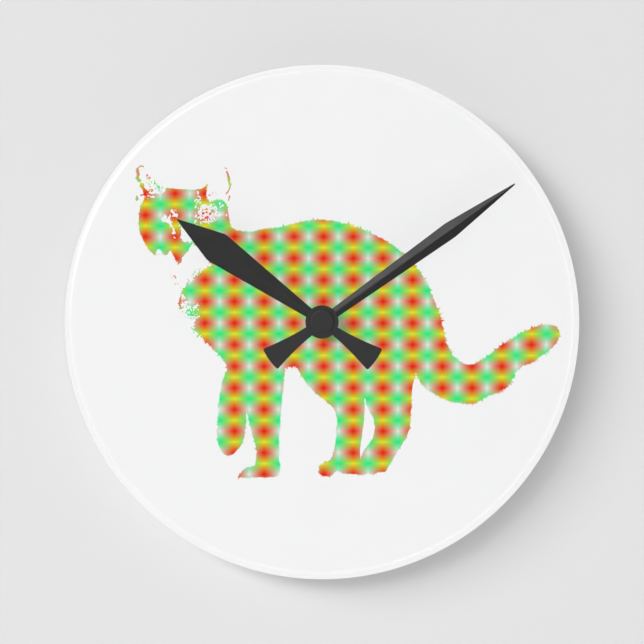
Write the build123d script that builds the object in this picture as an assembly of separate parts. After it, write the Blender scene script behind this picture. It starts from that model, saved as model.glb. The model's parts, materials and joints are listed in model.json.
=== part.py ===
from build123d import *
from math import acos, atan2, cos, degrees, hypot, pi, radians, sin, tan
import os

# A round wall clock with a printed cat on a clear acrylic dial and a battery quartz movement behind it.
# Millimetres. +X is to the right and +Z is up as the clock hangs. The front faces -Y.
# The origin is on the wall plane (y = 0), where the axis of the hands meets it.

# ---------------------------------------------------------------- dial
dial_diameter = 203.2
dial_thickness = 5.0
dial_edge_round = 3.0
dial_back_round = 0.4
dial_hole_clearance = 0.1
ink_margin = 1.0
white_ink_thickness = 0.2
cat_ink_thickness = 0.1
art_diameter = 203.2

cushion_size = 48.0
cushion_corner = 4.0
cushion_thickness = 1.0
cushion_hole_gap = 0.3

# ---------------------------------------------------------------- fixing on the dial
bushing_radius = 4.0
bushing_flange_radius = 5.2
bushing_flange = 0.6
bushing_stand_out = 3.4
washer_radius = 6.25
washer_thickness = 0.5
nut_across_flats = 10.0
nut_thickness = 2.0

# ---------------------------------------------------------------- hands
minute_reach = 93.1
minute_shoulder_at = 62.0
minute_shoulder_half = 3.33
minute_root_half = 1.8
minute_shoulder_round = 26.0
minute_tail_reach = 25.5
minute_tail_half = 5.0
minute_hub_radius = 6.55
minute_angle = 54.4

hour_reach = 69.8
hour_shoulder_at = 50.8
hour_shoulder_half = 6.3
hour_root_half = 1.35
hour_shoulder_round = 5.0
hour_tail_reach = 26.0
hour_tail_half = 5.15
hour_hub_radius = 6.2
hour_angle = -54.7

tip_round = 0.3
tail_corner_round = 0.8
tail_waist_half = 3.1
tail_waist_at = 16.0
hand_sheet = 0.5
ridge_slope = 0.16
hub_collar_wall = 1.1
hub_collar_length = 1.0
hand_gap = 0.6
hub_gap = 0.4
hour_pipe_stand_out = 0.9
seconds_recess = 0.4

cap_radius = 4.95
cap_thickness = 1.9
cap_edge_round = 0.5
cap_roof = 0.5

# ---------------------------------------------------------------- shafts
running_clearance = 0.05
minute_radius = 1.8
minute_flat = 1.45
hour_pipe_wall = 0.65
seconds_radius = 0.5
pivot_radius = 0.5
pivot_length = 1.0
arbor_radius = 0.6
second_hub_radius = 0.8
stem_radius = 1.0
end_play = 0.2
pivot_end_gap = 0.1
floor_pivot_depth = 0.8

# ---------------------------------------------------------------- gears: (teeth, module)
pressure_angle = radians(25)
backlash = 0.05
addendum = 0.8
dedendum = 1.05
motion_module = 0.5
centre_module = 0.25
second_module = 0.3
rotor_module = 0.25
cannon_teeth = 12
motion_teeth = 36
set_teeth = 12
motion_pinion_teeth = 10
hour_teeth = 40
centre_teeth = 75
third_pinion_teeth = 10
third_teeth = 80
second_pinion_teeth = 10
second_teeth = 60
intermediate_pinion_teeth = 10
intermediate_teeth = 50
rotor_pinion_teeth = 10
fine_teeth = 30
motion_collar_share = 0.7

motion_direction = radians(135)
set_direction = radians(200)
third_direction = radians(110)
intermediate_direction = radians(10)
rotor_direction = radians(20)

face_width = 1.0
motion_face_width = 1.2
layer_gap = 0.4
wall_gap = 0.3
wheel_clearance = 0.42

# ---------------------------------------------------------------- case and battery
case_wall = 1.4
case_corner = 3.0
bay_wall = 1.2
bay_floor = 0.9
battery_diameter = 14.5
battery_length = 50.5
battery_float = 0.3
battery_inset = 0.3
battery_nub_radius = 2.75
battery_nub = 1.1
sleeve_thickness = 0.15
sleeve_short = 0.3

plate_thickness = 1.0
plate_post_radius = 1.5
plate_edge_gap = 0.9
plate_over_wheel = 0.6
plate_side_gap = 1.6
plate_past_rotor = 6.6
plate_corner = 1.5
post_inset = (3.0, 2.5)
peg_radius = 1.2
stator_stand_off = 1.2
boss_radius = 1.4
boss_length = 1.8
board_post_length = 2.2

strip_thickness = 0.3
strip_width = 0.8
contact_gap = 0.3
contact_bow = 1.5
contact_height = 9.0
bow_inset = 1.0
bow_half_width = 1.5
strip_lap = 1.5
strip_end_lap = 1.0
notch_width = 0.9
notch_gap = 0.4

knob_radius = 5.2
knob_thickness = 2.2
knob_gap = 0.6
knob_inset = 0.3
knob_flutes = 20
flute_radius = 0.742
flute_sink = 0.297
cup_wall = 0.7
cup_gap = 0.3

hook_width = 6.0
hook_thickness = 1.0
hook_reach = 4.6
hook_bite = 0.7
hook_gap = 0.3
arm_gap = 0.15

hanger_width = 26.0
hanger_height = 11.0
hanger_thickness = 2.0
hanger_slot_width = 14.0
hanger_slot_height = 5.0
hanger_notch_radius = 2.0
hanger_bridge = 1.8
hanger_corner = 4.0
hanger_slot_corner = 1.0
hanger_step_gap = 0.2

# ---------------------------------------------------------------- motor and circuit
magnet_radius = 2.5
magnet_length = 2.8
stator_bore = 3.0
stator_ring = 2.2
stator_thickness = 0.8
stator_limb = 4.0
coil_length = 12.0
coil_flange_radius = 3.0
coil_flange = 0.8
coil_tube_wall = 0.5
winding_radius = 2.7
coil_clearance = 1.3
coil_headroom = 0.8
coil_shift = 1.9
pad_gap = 0.2
foot_side = 2.2
foot_rise = 2.6
core_width = 2.4
core_tail = 4.0
board_thickness = 0.8
board_width = 19.0
board_height = 15.0
board_corner = 0.8
board_overhang = 1.5
board_side_gap = 0.6
board_posts = ((2.0, 13.0), (14.5, 6.0))
chip_place = (10.0, 7.0)
chip_radius = 2.5
chip_height = 1.0
crystal_radius = 1.0
crystal_length = 6.0
crystal_place = (2.0, 3.0)

# How far a cut runs on past the material.
cut_over = 1.0

# The cat, drawn on a dial of art_diameter: smooth runs of points (x, z), each starting where the last ended.
cat_runs = [
    [(-59.8, 28.3), (-57.6, 25.0), (-56.4, 23.4), (-55.3, 23.6), (-55.3, 25.8), (-52.6, 28.3), (-51.0, 31.4)],
    [(-51.0, 31.4), (-47.4, 27.6), (-43.6, 22.4)],
    [(-43.6, 22.4), (-48.6, 19.6), (-52.0, 15.4), (-56.0, 11.0), (-56.3, 6.0), (-53.0, 1.4), (-49.4, -3.6)],
    [(-49.4, -3.6), (-45.2, -8.3), (-39.6, -14.4), (-37.6, -18.2), (-39.3, -23.6), (-40.7, -31.0),
     (-41.1, -40.0), (-41.1, -47.6), (-38.6, -52.2), (-35.4, -52.2), (-31.8, -48.4), (-30.4, -43.0), (-29.8, -34.6)],
    [(-29.8, -34.6), (-28.6, -40.6), (-26.2, -49.0), (-25.8, -53.0), (-26.5, -56.8)],
    [(-26.5, -56.8), (-30.4, -57.8), (-32.4, -60.2), (-31.6, -61.3), (-22.6, -61.3), (-17.6, -60.7), (-16.6, -57.4),
     (-17.1, -50.0), (-16.3, -36.0), (-15.0, -22.0), (-14.6, -18.0)],
    [(-14.6, -18.0), (-10.2, -17.5)],
    [(-10.2, -17.5), (-7.6, -22.0), (-3.4, -27.3), (1.4, -31.2), (5.0, -35.0), (5.9, -40.0), (5.2, -48.0),
     (3.7, -53.7), (0.3, -55.9), (-1.2, -58.6), (0.2, -60.9), (3.8, -60.6), (5.4, -58.3)],
    [(5.4, -58.3), (8.6, -59.8), (15.0, -60.1), (20.4, -60.0)],
    [(20.4, -60.0), (22.6, -59.1), (25.0, -59.4)],
    [(25.0, -59.4), (28.0, -54.0), (31.6, -48.4), (34.6, -42.0), (35.3, -33.0), (35.6, -26.0), (37.0, -20.6)],
    [(37.0, -20.6), (40.4, -25.6), (46.4, -29.4), (53.0, -31.8), (60.0, -32.0), (66.0, -29.2), (73.4, -25.6),
     (77.6, -18.6), (84.0, -15.2), (91.0, -10.0), (93.9, -5.0), (92.0, -1.7), (86.4, -1.1), (78.4, -4.6),
     (70.6, -9.4), (64.0, -14.3), (58.0, -16.9), (52.6, -14.0), (49.2, -8.4), (46.8, 2.0), (42.8, 12.4),
     (37.0, 22.2), (29.4, 29.2), (19.0, 35.4), (8.0, 39.2), (-4.0, 40.4), (-14.4, 38.0), (-22.0, 36.8),
     (-30.6, 35.6), (-35.8, 37.6), (-37.4, 41.6), (-38.2, 43.6)],
    [(-38.2, 43.6), (-37.4, 46.0), (-36.6, 50.0), (-36.0, 55.0), (-37.4, 60.6)],
    [(-37.4, 60.6), (-42.2, 57.2), (-45.6, 54.2)],
    [(-45.6, 54.2), (-49.2, 52.4), (-55.0, 52.4), (-61.6, 52.9)],
    [(-61.6, 52.9), (-65.2, 55.6), (-72.4, 61.6)],
    [(-72.4, 61.6), (-73.6, 57.0), (-71.0, 52.6), (-71.2, 47.2), (-72.5, 40.0), (-71.4, 34.0), (-68.4, 28.8),
     (-65.8, 26.3)],
    [(-65.8, 26.3), (-64.6, 28.9), (-62.0, 26.5), (-59.8, 28.3)],
]
art_scale = dial_diameter / art_diameter


# ---------------------------------------------------------------- gear sizes and places
def pitch_radius(teeth, module):
    return teeth * module / 2


def tip_radius(teeth, module):
    return pitch_radius(teeth, module) + addendum * module


def at(start, direction, distance):
    return (start[0] + distance * cos(direction), start[1] + distance * sin(direction))


def mesh_distance(teeth_a, teeth_b, module):
    return (teeth_a + teeth_b) * module / 2


centre = (0.0, 0.0)
motion_at = at(centre, motion_direction, mesh_distance(cannon_teeth, motion_teeth, motion_module))
set_at = at(motion_at, set_direction, mesh_distance(motion_teeth, set_teeth, motion_module))
third_distance = mesh_distance(centre_teeth, third_pinion_teeth, centre_module)
third_at = at(centre, third_direction, third_distance)
third_module = 2 * third_distance / (third_teeth + second_pinion_teeth)
intermediate_at = at(
    centre, intermediate_direction, mesh_distance(second_teeth, intermediate_pinion_teeth, second_module)
)
rotor_at = at(
    intermediate_at, rotor_direction, mesh_distance(intermediate_teeth, rotor_pinion_teeth, rotor_module)
)
motion_hour_module = 2 * hypot(*motion_at) / (motion_pinion_teeth + hour_teeth)

# ---------------------------------------------------------------- places across the case
bay_top = -(tip_radius(hour_teeth, motion_hour_module) + wheel_clearance)
bay_ceiling = bay_top - bay_wall
battery_radius = battery_diameter / 2
battery_z = bay_ceiling - battery_float - battery_radius
case_bottom = battery_z - battery_radius - battery_float - case_wall
plate_bottom = bay_top + plate_edge_gap
plate_top = motion_at[1] + tip_radius(motion_teeth, motion_module) + plate_over_wheel
coil_z = plate_top + coil_clearance + coil_flange_radius
case_top = coil_z + coil_flange_radius + coil_headroom + case_wall
left_room = strip_thickness + contact_bow + contact_gap
right_room = strip_thickness + contact_gap
cup_radius = knob_radius + knob_gap + cup_wall
bay_half = (battery_length + left_room + right_room) / 2
inner_half = max(bay_half, cup_radius - set_at[0] + cup_gap)
case_half = inner_half + case_wall
battery_right = bay_half - right_room
battery_left = battery_right - battery_length

# ---------------------------------------------------------------- places from the wall forwards (y)
train_depth = 2 * case_wall + 2 * motion_face_width + 4 * face_width + plate_thickness + 5 * layer_gap + boss_length
battery_depth = bay_floor + battery_float + battery_diameter + battery_inset
case_depth = max(train_depth, battery_depth)
case_front_y = -case_depth
floor_y = case_front_y + case_wall
battery_y = case_front_y + bay_floor + battery_float + battery_radius
cover_y = -case_wall

hour_wheel_y = floor_y + wall_gap
cannon_y = hour_wheel_y + motion_face_width + layer_gap
plate_y = cannon_y + motion_face_width + wall_gap
centre_wheel_y = plate_y + plate_thickness + wall_gap
third_wheel_y = centre_wheel_y + face_width + layer_gap
second_wheel_y = third_wheel_y + face_width + layer_gap
intermediate_wheel_y = second_wheel_y + face_width + layer_gap
stator_y = plate_y + plate_thickness + stator_stand_off
board_y = cover_y - board_post_length
boss_y = cover_y - boss_length

cushion_y = case_front_y - cushion_thickness
panel_back_y = cushion_y - white_ink_thickness
panel_front_y = panel_back_y - dial_thickness
washer_y = panel_front_y - washer_thickness
nut_y = washer_y - nut_thickness
bushing_end_y = panel_front_y - bushing_stand_out
hour_hand_y = bushing_end_y - hand_gap - hub_collar_length
hour_pipe_end_y = hour_hand_y - hour_pipe_stand_out
minute_hand_y = hour_pipe_end_y - hub_gap - hub_collar_length
cap_y = minute_hand_y - cap_thickness
minute_end_y = cap_y + cap_roof
seconds_end_y = minute_end_y + seconds_recess
hour_pipe_bore = minute_radius + running_clearance
hour_pipe_radius = hour_pipe_bore + hour_pipe_wall


# ---------------------------------------------------------------- helpers
def slab(outline, y_front, y_back):
    """The outline, drawn as (x, z), as a solid from y_front to y_back."""
    return extrude(Plane.XZ.offset(-y_back) * outline, amount=y_back - y_front)


def disc(radius, y_front, y_back, place=centre):
    return slab(Pos(*place) * Circle(radius), y_front, y_back)


def tube(outer, inner, y_front, y_back, place=centre):
    return slab(Pos(*place) * (Circle(outer) - Circle(inner)), y_front, y_back)


def block(x_low, x_high, y_low, y_high, z_low, z_high):
    size = (x_high - x_low, y_high - y_low, z_high - z_low)
    middle = ((x_low + x_high) / 2, (y_low + y_high) / 2, (z_low + z_high) / 2)
    return Pos(*middle) * Box(*size)


def flat_box(x_low, x_high, z_low, z_high, corner=0.0):
    size = (x_high - x_low, z_high - z_low)
    shape = RectangleRounded(*size, corner) if corner else Rectangle(*size)
    return Pos((x_low + x_high) / 2, (z_low + z_high) / 2) * shape


def involute(angle):
    return tan(angle) - angle


def gear(teeth, module, first_tooth):
    """A spur gear's outline, with a tooth centred at the angle first_tooth."""
    pitch = pitch_radius(teeth, module)
    base = pitch * cos(pressure_angle)
    root = pitch - dedendum * module
    tip = tip_radius(teeth, module)
    half_at_pitch = (pi * module / 2 - backlash / 2) / (2 * pitch)

    def half_angle(radius):
        roll = acos(min(1.0, base / radius))
        return half_at_pitch + involute(pressure_angle) - involute(roll)

    levels = [root, max(root, base), pitch, tip] if teeth < fine_teeth else [root, tip]
    flank = [(radius, half_angle(max(radius, base))) for radius in sorted(set(levels))]
    points = []
    for tooth in range(teeth):
        middle = first_tooth + tooth * 2 * pi / teeth
        points += [(r * cos(middle - half), r * sin(middle - half)) for r, half in flank]
        points += [(r * cos(middle + half), r * sin(middle + half)) for r, half in reversed(flank)]
    return make_face(Polyline(*points, close=True))


def meshed(first_tooth, place, teeth, other_place, other_teeth):
    """The angle of a tooth on the other gear, so that the two gears are in mesh."""
    direction = atan2(other_place[1] - place[1], other_place[0] - place[0])
    share = ((direction - first_tooth) * teeth / (2 * pi)) % 1.0
    return direction + pi + (share + 0.5) * 2 * pi / other_teeth


def gear_slab(teeth, module, first_tooth, place, y_front, width):
    return slab(Pos(*place) * gear(teeth, module, first_tooth), y_front, y_front + width)


def arbor(place, y_front, y_back, front_pivot_y, back_pivot_y, radius=arbor_radius):
    """A shaft with a thinner pivot at each end."""
    return disc(radius, y_front, y_back, place) + disc(pivot_radius, front_pivot_y, back_pivot_y, place)


parts = {}

# ---------------------------------------------------------------- dial, its print and its fixing
hole_radius = bushing_radius + dial_hole_clearance
panel = disc(dial_diameter / 2, panel_front_y, panel_back_y)
panel_rims = panel.edges().filter_by(GeomType.CIRCLE).sort_by(Axis.Y)
panel = fillet(panel_rims[0], dial_edge_round)
panel = fillet(panel.edges().filter_by(GeomType.CIRCLE).sort_by(Axis.Y)[-1], dial_back_round)
parts["dial_panel"] = panel - disc(hole_radius, panel_front_y, panel_back_y)

cat_face = make_face([Spline(*[(x * art_scale, z * art_scale) for x, z in run]) for run in cat_runs])
cat_face -= Circle(hole_radius)
cat_back_y = panel_back_y + cat_ink_thickness
parts["cat_print"] = slab(cat_face, panel_back_y, cat_back_y)
white = tube(dial_diameter / 2 - ink_margin, hole_radius, panel_back_y, cushion_y)
parts["dial_white_print"] = white - parts["cat_print"]

cushion = RectangleRounded(cushion_size, cushion_size, cushion_corner)
cushion -= Circle(bushing_flange_radius + cushion_hole_gap)
parts["rubber_cushion"] = slab(cushion, cushion_y, case_front_y)

hour_bore = hour_pipe_radius + running_clearance
bushing = tube(bushing_radius, hour_bore, bushing_end_y, floor_y)
bushing += tube(bushing_flange_radius, hour_bore, case_front_y - bushing_flange, case_front_y)
parts["threaded_bushing"] = bushing
parts["dial_washer"] = tube(washer_radius, bushing_radius, washer_y, panel_front_y)
hexagon = RegularPolygon(nut_across_flats / 2, 6, major_radius=False)
parts["dial_nut"] = slab(hexagon - Circle(bushing_radius), nut_y, washer_y)


# ---------------------------------------------------------------- hands
def hand_outline(reach, shoulder_at, shoulder_half, root_half, shoulder_round, tail_reach, tail_half):
    """A hand that points to +Z: a blade that widens to its shoulders, and a tail that flares to an arc.

    The blade's sides run to a sharp tip just far enough out for the rounded tip to end at the reach.
    """
    round_at = reach - tip_round - shoulder_at
    tangent = shoulder_half * tip_round * (shoulder_half ** 2 + round_at ** 2 - tip_round ** 2) ** 0.5
    sharp_tip = shoulder_at + (shoulder_half ** 2 * round_at + tangent) / (shoulder_half ** 2 - tip_round ** 2)
    blade = make_face(Polyline(
        (root_half, 0), (shoulder_half, shoulder_at), (0, sharp_tip),
        (-shoulder_half, shoulder_at), (-root_half, 0), close=True,
    ))
    shoulders = blade.vertices().filter_by_position(Axis.Y, shoulder_at - 0.01, shoulder_at + 0.01)
    blade = fillet(shoulders, shoulder_round)
    blade = fillet(blade.vertices().sort_by(Axis.Y)[-1], tip_round)
    corner_z = -(tail_reach ** 2 - tail_half ** 2) ** 0.5
    right = Spline((root_half, 0), (tail_waist_half, -tail_waist_at), (tail_half, corner_z))
    left = Spline((-tail_half, corner_z), (-tail_waist_half, -tail_waist_at), (-root_half, 0))
    end = ThreePointArc((tail_half, corner_z), (0, -tail_reach), (-tail_half, corner_z))
    tail = make_face([right, end, left, Line((-root_half, 0), (root_half, 0))])
    corners = tail.vertices().filter_by_position(Axis.Y, corner_z - 0.01, corner_z + 0.01)
    return blade + fillet(corners, tail_corner_round)


def ridged(outline, y_front, half_width, low_z, high_z):
    """Thin sheet cut to the outline: a ridge along the blade from the pivot to its tip, and a flat tail."""
    drop = ridge_slope * half_width
    section = Polyline(
        (0, y_front), (half_width, y_front + drop), (half_width, y_front + drop + hand_sheet),
        (0, y_front + hand_sheet), (-half_width, y_front + drop + hand_sheet),
        (-half_width, y_front + drop), close=True,
    )
    fold = extrude(Plane.XY * make_face(section), amount=high_z)
    below = Pos(0, low_z / 2) * Rectangle(2 * half_width, -low_z)
    tail = slab(outline & below, y_front, y_front + hand_sheet)
    blade = fold & slab(outline, y_front - cut_over, y_front + drop + hand_sheet + cut_over)
    return blade + tail


minute_shape = hand_outline(
    minute_reach, minute_shoulder_at, minute_shoulder_half, minute_root_half,
    minute_shoulder_round, minute_tail_reach, minute_tail_half,
)
hour_shape = hand_outline(
    hour_reach, hour_shoulder_at, hour_shoulder_half, hour_root_half,
    hour_shoulder_round, hour_tail_reach, hour_tail_half,
)
minute_half = max(minute_shoulder_half, minute_tail_half) + cut_over
hour_half = max(hour_shoulder_half, hour_tail_half) + cut_over
minute_blank = ridged(
    minute_shape, minute_hand_y, minute_half, -minute_tail_reach - cut_over, minute_reach + cut_over
)
hour_blank = ridged(hour_shape, hour_hand_y, hour_half, -hour_tail_reach - cut_over, hour_reach + cut_over)

keyed = Circle(minute_radius) & Rectangle(2 * minute_flat, 2 * minute_radius)
minute_hand = minute_blank + disc(minute_hub_radius, minute_hand_y, minute_hand_y + hand_sheet)
minute_hand += disc(minute_radius + hub_collar_wall, minute_hand_y, minute_hand_y + hub_collar_length)
minute_hand -= slab(keyed, minute_hand_y - cut_over, minute_hand_y + hub_collar_length + cut_over)
parts["minute_hand"] = Rot(0, minute_angle, 0) * minute_hand

hour_hand = hour_blank + disc(hour_hub_radius, hour_hand_y, hour_hand_y + hand_sheet)
hour_hand += disc(hour_pipe_radius + hub_collar_wall, hour_hand_y, hour_hand_y + hub_collar_length)
hour_hand -= disc(hour_pipe_radius, hour_hand_y - cut_over, hour_hand_y + hub_collar_length + cut_over)
parts["hour_hand"] = Rot(0, hour_angle, 0) * hour_hand

cap = disc(cap_radius, cap_y, minute_hand_y)
cap = fillet(cap.edges().filter_by(GeomType.CIRCLE).sort_by(Axis.Y)[0], cap_edge_round)
parts["hand_nut"] = cap - disc(minute_radius, minute_end_y, minute_hand_y)

# ---------------------------------------------------------------- wheels that carry the hands
cannon_back_y = cannon_y + motion_face_width
centre_back_y = centre_wheel_y + face_width
seconds_bore = seconds_radius + running_clearance
minute_arbor = disc(minute_radius, minute_hand_y + hub_collar_length, centre_back_y)
minute_arbor += Rot(0, minute_angle, 0) * slab(keyed, minute_hand_y, minute_hand_y + hub_collar_length)
minute_arbor += disc(minute_radius, minute_end_y, minute_hand_y)
minute_arbor += gear_slab(cannon_teeth, motion_module, 0.0, centre, cannon_y, motion_face_width)
minute_arbor -= disc(seconds_bore, minute_end_y - cut_over, centre_back_y + cut_over)
parts["minute_arbor"] = minute_arbor
centre_wheel = gear_slab(centre_teeth, centre_module, 0.0, centre, centre_wheel_y, face_width)
parts["centre_wheel"] = centre_wheel - disc(minute_radius, centre_wheel_y, centre_back_y)

motion_phase = meshed(0.0, centre, cannon_teeth, motion_at, motion_teeth)
set_phase = meshed(motion_phase, motion_at, motion_teeth, set_at, set_teeth)
hour_phase = meshed(0.0, motion_at, motion_pinion_teeth, centre, hour_teeth)
motion_pivot_y = floor_y - floor_pivot_depth
motion_wheel = arbor(
    motion_at, hour_wheel_y, cannon_back_y,
    motion_pivot_y + pivot_end_gap, plate_y + plate_thickness - pivot_end_gap,
)
motion_wheel += gear_slab(motion_teeth, motion_module, motion_phase, motion_at, cannon_y, motion_face_width)
motion_wheel += gear_slab(
    motion_pinion_teeth, motion_hour_module, 0.0, motion_at, hour_wheel_y, motion_face_width
)
motion_collar_radius = pitch_radius(motion_pinion_teeth, motion_hour_module) * motion_collar_share
motion_wheel += disc(motion_collar_radius, hour_wheel_y, cannon_y, motion_at)
parts["motion_wheel"] = motion_wheel

hour_wheel = gear_slab(hour_teeth, motion_hour_module, hour_phase, centre, hour_wheel_y, motion_face_width)
hour_wheel += disc(hour_pipe_radius, hour_pipe_end_y, hour_wheel_y)
hour_wheel -= disc(hour_pipe_bore, hour_pipe_end_y - cut_over, cannon_y)
parts["hour_wheel"] = hour_wheel

# ---------------------------------------------------------------- set stem, its pinion and its knob
knob_back_y = -knob_inset
knob_y = knob_back_y - knob_thickness
stem = arbor(set_at, hour_wheel_y, knob_y, motion_pivot_y + pivot_end_gap, knob_y, stem_radius)
stem += gear_slab(set_teeth, motion_module, set_phase, set_at, cannon_y, motion_face_width)
parts["set_pinion"] = stem
knob_hub = disc(knob_radius, knob_y, knob_back_y, set_at)
for flute in range(knob_flutes):
    groove_at = at(set_at, flute * 2 * pi / knob_flutes, knob_radius + flute_sink)
    knob_hub -= disc(flute_radius, knob_y, knob_back_y, groove_at)
parts["set_knob"] = knob_hub

# ---------------------------------------------------------------- train from the rotor to the minute arbor
pivot_front_y = plate_y + pivot_end_gap
arbor_back_y = boss_y - end_play
pivot_back_y = boss_y + pivot_length
third_pinion_phase = meshed(0.0, centre, centre_teeth, third_at, third_pinion_teeth)
third = arbor(third_at, centre_wheel_y, arbor_back_y, pivot_front_y, pivot_back_y)
third += gear_slab(third_pinion_teeth, centre_module, third_pinion_phase, third_at, centre_wheel_y, face_width)
third += gear_slab(third_teeth, third_module, 0.0, third_at, third_wheel_y, face_width)
parts["third_wheel"] = third

second_pinion_phase = meshed(0.0, third_at, third_teeth, centre, second_pinion_teeth)
seconds = disc(seconds_radius, seconds_end_y, pivot_back_y)
seconds += disc(second_hub_radius, second_wheel_y, arbor_back_y)
seconds += gear_slab(
    second_pinion_teeth, third_module, second_pinion_phase, centre, third_wheel_y, second_wheel_y - third_wheel_y
)
parts["seconds_arbor"] = seconds
second_wheel = gear_slab(second_teeth, second_module, 0.0, centre, second_wheel_y, face_width)
parts["second_wheel"] = second_wheel - disc(second_hub_radius, second_wheel_y, second_wheel_y + face_width)

intermediate_phase = meshed(0.0, centre, second_teeth, intermediate_at, intermediate_pinion_teeth)
intermediate = arbor(intermediate_at, centre_wheel_y, arbor_back_y, pivot_front_y, pivot_back_y)
intermediate += gear_slab(
    intermediate_pinion_teeth, second_module, intermediate_phase, intermediate_at,
    second_wheel_y, intermediate_wheel_y - second_wheel_y,
)
intermediate += gear_slab(
    intermediate_teeth, rotor_module, 0.0, intermediate_at, intermediate_wheel_y, face_width
)
parts["intermediate_wheel"] = intermediate

rotor_phase = meshed(0.0, intermediate_at, intermediate_teeth, rotor_at, rotor_pinion_teeth)
rotor = arbor(rotor_at, centre_wheel_y, arbor_back_y, pivot_front_y, pivot_back_y)
rotor += gear_slab(rotor_pinion_teeth, rotor_module, rotor_phase, rotor_at, intermediate_wheel_y, face_width)
parts["rotor_arbor"] = rotor
parts["rotor_magnet"] = tube(
    magnet_radius, arbor_radius, centre_wheel_y, centre_wheel_y + magnet_length, rotor_at
)

# ---------------------------------------------------------------- motor: stator, core, bobbin and winding
coil_left = rotor_at[0] - coil_shift - coil_length / 2
coil_right = coil_left + coil_length
pad_low = coil_z - coil_flange_radius - stator_limb
pad_high = coil_z + core_width / 2
left_pad = flat_box(coil_left - core_tail, coil_left - pad_gap, pad_low, pad_high)
right_pad = flat_box(coil_right + pad_gap, coil_right + core_tail, pad_low, pad_high)


def bar(start, end, width):
    direction = atan2(end[1] - start[1], end[0] - start[0])
    length = hypot(end[0] - start[0], end[1] - start[1])
    middle = ((start[0] + end[0]) / 2, (start[1] + end[1]) / 2)
    return Pos(*middle) * Rot(0, 0, degrees(direction)) * Rectangle(length, width)


left_foot = (rotor_at[0] - foot_side, rotor_at[1] + foot_rise)
right_foot = (rotor_at[0] + foot_side, rotor_at[1] + foot_rise)
left_end = (coil_left - core_tail / 2, pad_low + stator_limb / 2)
right_end = (coil_right + core_tail / 2, pad_low + stator_limb / 2)
stator = Pos(*rotor_at) * Circle(stator_bore + stator_ring)
stator += [bar(left_foot, left_end, stator_limb), bar(right_foot, right_end, stator_limb), left_pad, right_pad]
stator -= Pos(*rotor_at) * Circle(stator_bore)
parts["stator"] = slab(stator, stator_y, stator_y + stator_thickness)

core_y = stator_y - stator_thickness
core_middle_y = (core_y + stator_y) / 2
core_low, core_high = coil_z - core_width / 2, coil_z + core_width / 2
parts["coil_core"] = block(coil_left - core_tail, coil_right + core_tail, core_y, stator_y, core_low, core_high)
coil_axis = Plane(origin=(coil_left, core_middle_y, coil_z), x_dir=(0, 1, 0), z_dir=(1, 0, 0))
core_section = Rectangle(stator_thickness, core_width)
tube_section = Rectangle(stator_thickness + 2 * coil_tube_wall, core_width + 2 * coil_tube_wall)
flange_section = Circle(coil_flange_radius)
bobbin = extrude(coil_axis * tube_section, amount=coil_length)
bobbin += extrude(coil_axis * flange_section, amount=coil_flange)
bobbin += extrude(coil_axis.offset(coil_length - coil_flange) * flange_section, amount=coil_flange)
parts["coil_bobbin"] = bobbin - extrude(coil_axis * core_section, amount=coil_length)
winding = Circle(winding_radius) - tube_section
parts["coil_winding"] = extrude(coil_axis.offset(coil_flange) * winding, amount=coil_length - 2 * coil_flange)

# ---------------------------------------------------------------- circuit board
board_left = coil_left - core_tail - board_overhang
board_right = board_left + board_width
board_top = case_top - case_wall - board_side_gap
board_bottom = board_top - board_height
board_front_y = board_y - board_thickness
board = flat_box(board_left, board_right, board_bottom, board_top, board_corner)
parts["circuit_board"] = slab(board, board_front_y, board_y)
chip_at = (board_left + chip_place[0], board_bottom + chip_place[1])
parts["clock_chip"] = disc(chip_radius, board_front_y - chip_height, board_front_y, chip_at)
crystal_at = (board_left + crystal_place[0], board_front_y - crystal_radius, board_bottom + crystal_place[1])
parts["quartz_crystal"] = Pos(*crystal_at) * Rot(0, 90, 0) * Cylinder(
    crystal_radius, crystal_length, align=(Align.CENTER, Align.CENTER, Align.MIN)
)

# ---------------------------------------------------------------- battery and its contacts
can_right = battery_right - battery_nub
battery_axis = Plane(origin=(battery_left, battery_y, battery_z), z_dir=(1, 0, 0))
can_radius = battery_radius - sleeve_thickness
parts["battery_can"] = extrude(battery_axis * Circle(can_radius), amount=can_right - battery_left)
nub_plane = battery_axis.offset(can_right - battery_left)
parts["battery_cap"] = extrude(nub_plane * Circle(battery_nub_radius), amount=battery_nub)
sleeve_ring = Circle(battery_radius) - Circle(can_radius)
sleeve_length = can_right - battery_left - 2 * sleeve_short
parts["battery_sleeve"] = extrude(battery_axis.offset(sleeve_short) * sleeve_ring, amount=sleeve_length)

strip_back_y = board_front_y
strip_y = strip_back_y - strip_width
contact_low = battery_z - contact_height / 2
contact_high = battery_z + contact_height / 2
contact_front_y = battery_y - contact_height / 2
strip_top = board_bottom + strip_lap
wall_in = bay_half - strip_thickness
positive = block(wall_in, bay_half, contact_front_y, strip_back_y, contact_low, contact_high)
positive += block(wall_in, bay_half, strip_y, strip_back_y, contact_low, strip_top)
strip_end_x = board_right - strip_end_lap
positive += block(strip_end_x, bay_half, strip_y, strip_back_y, strip_top - strip_thickness, strip_top)
parts["positive_contact"] = positive

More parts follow.
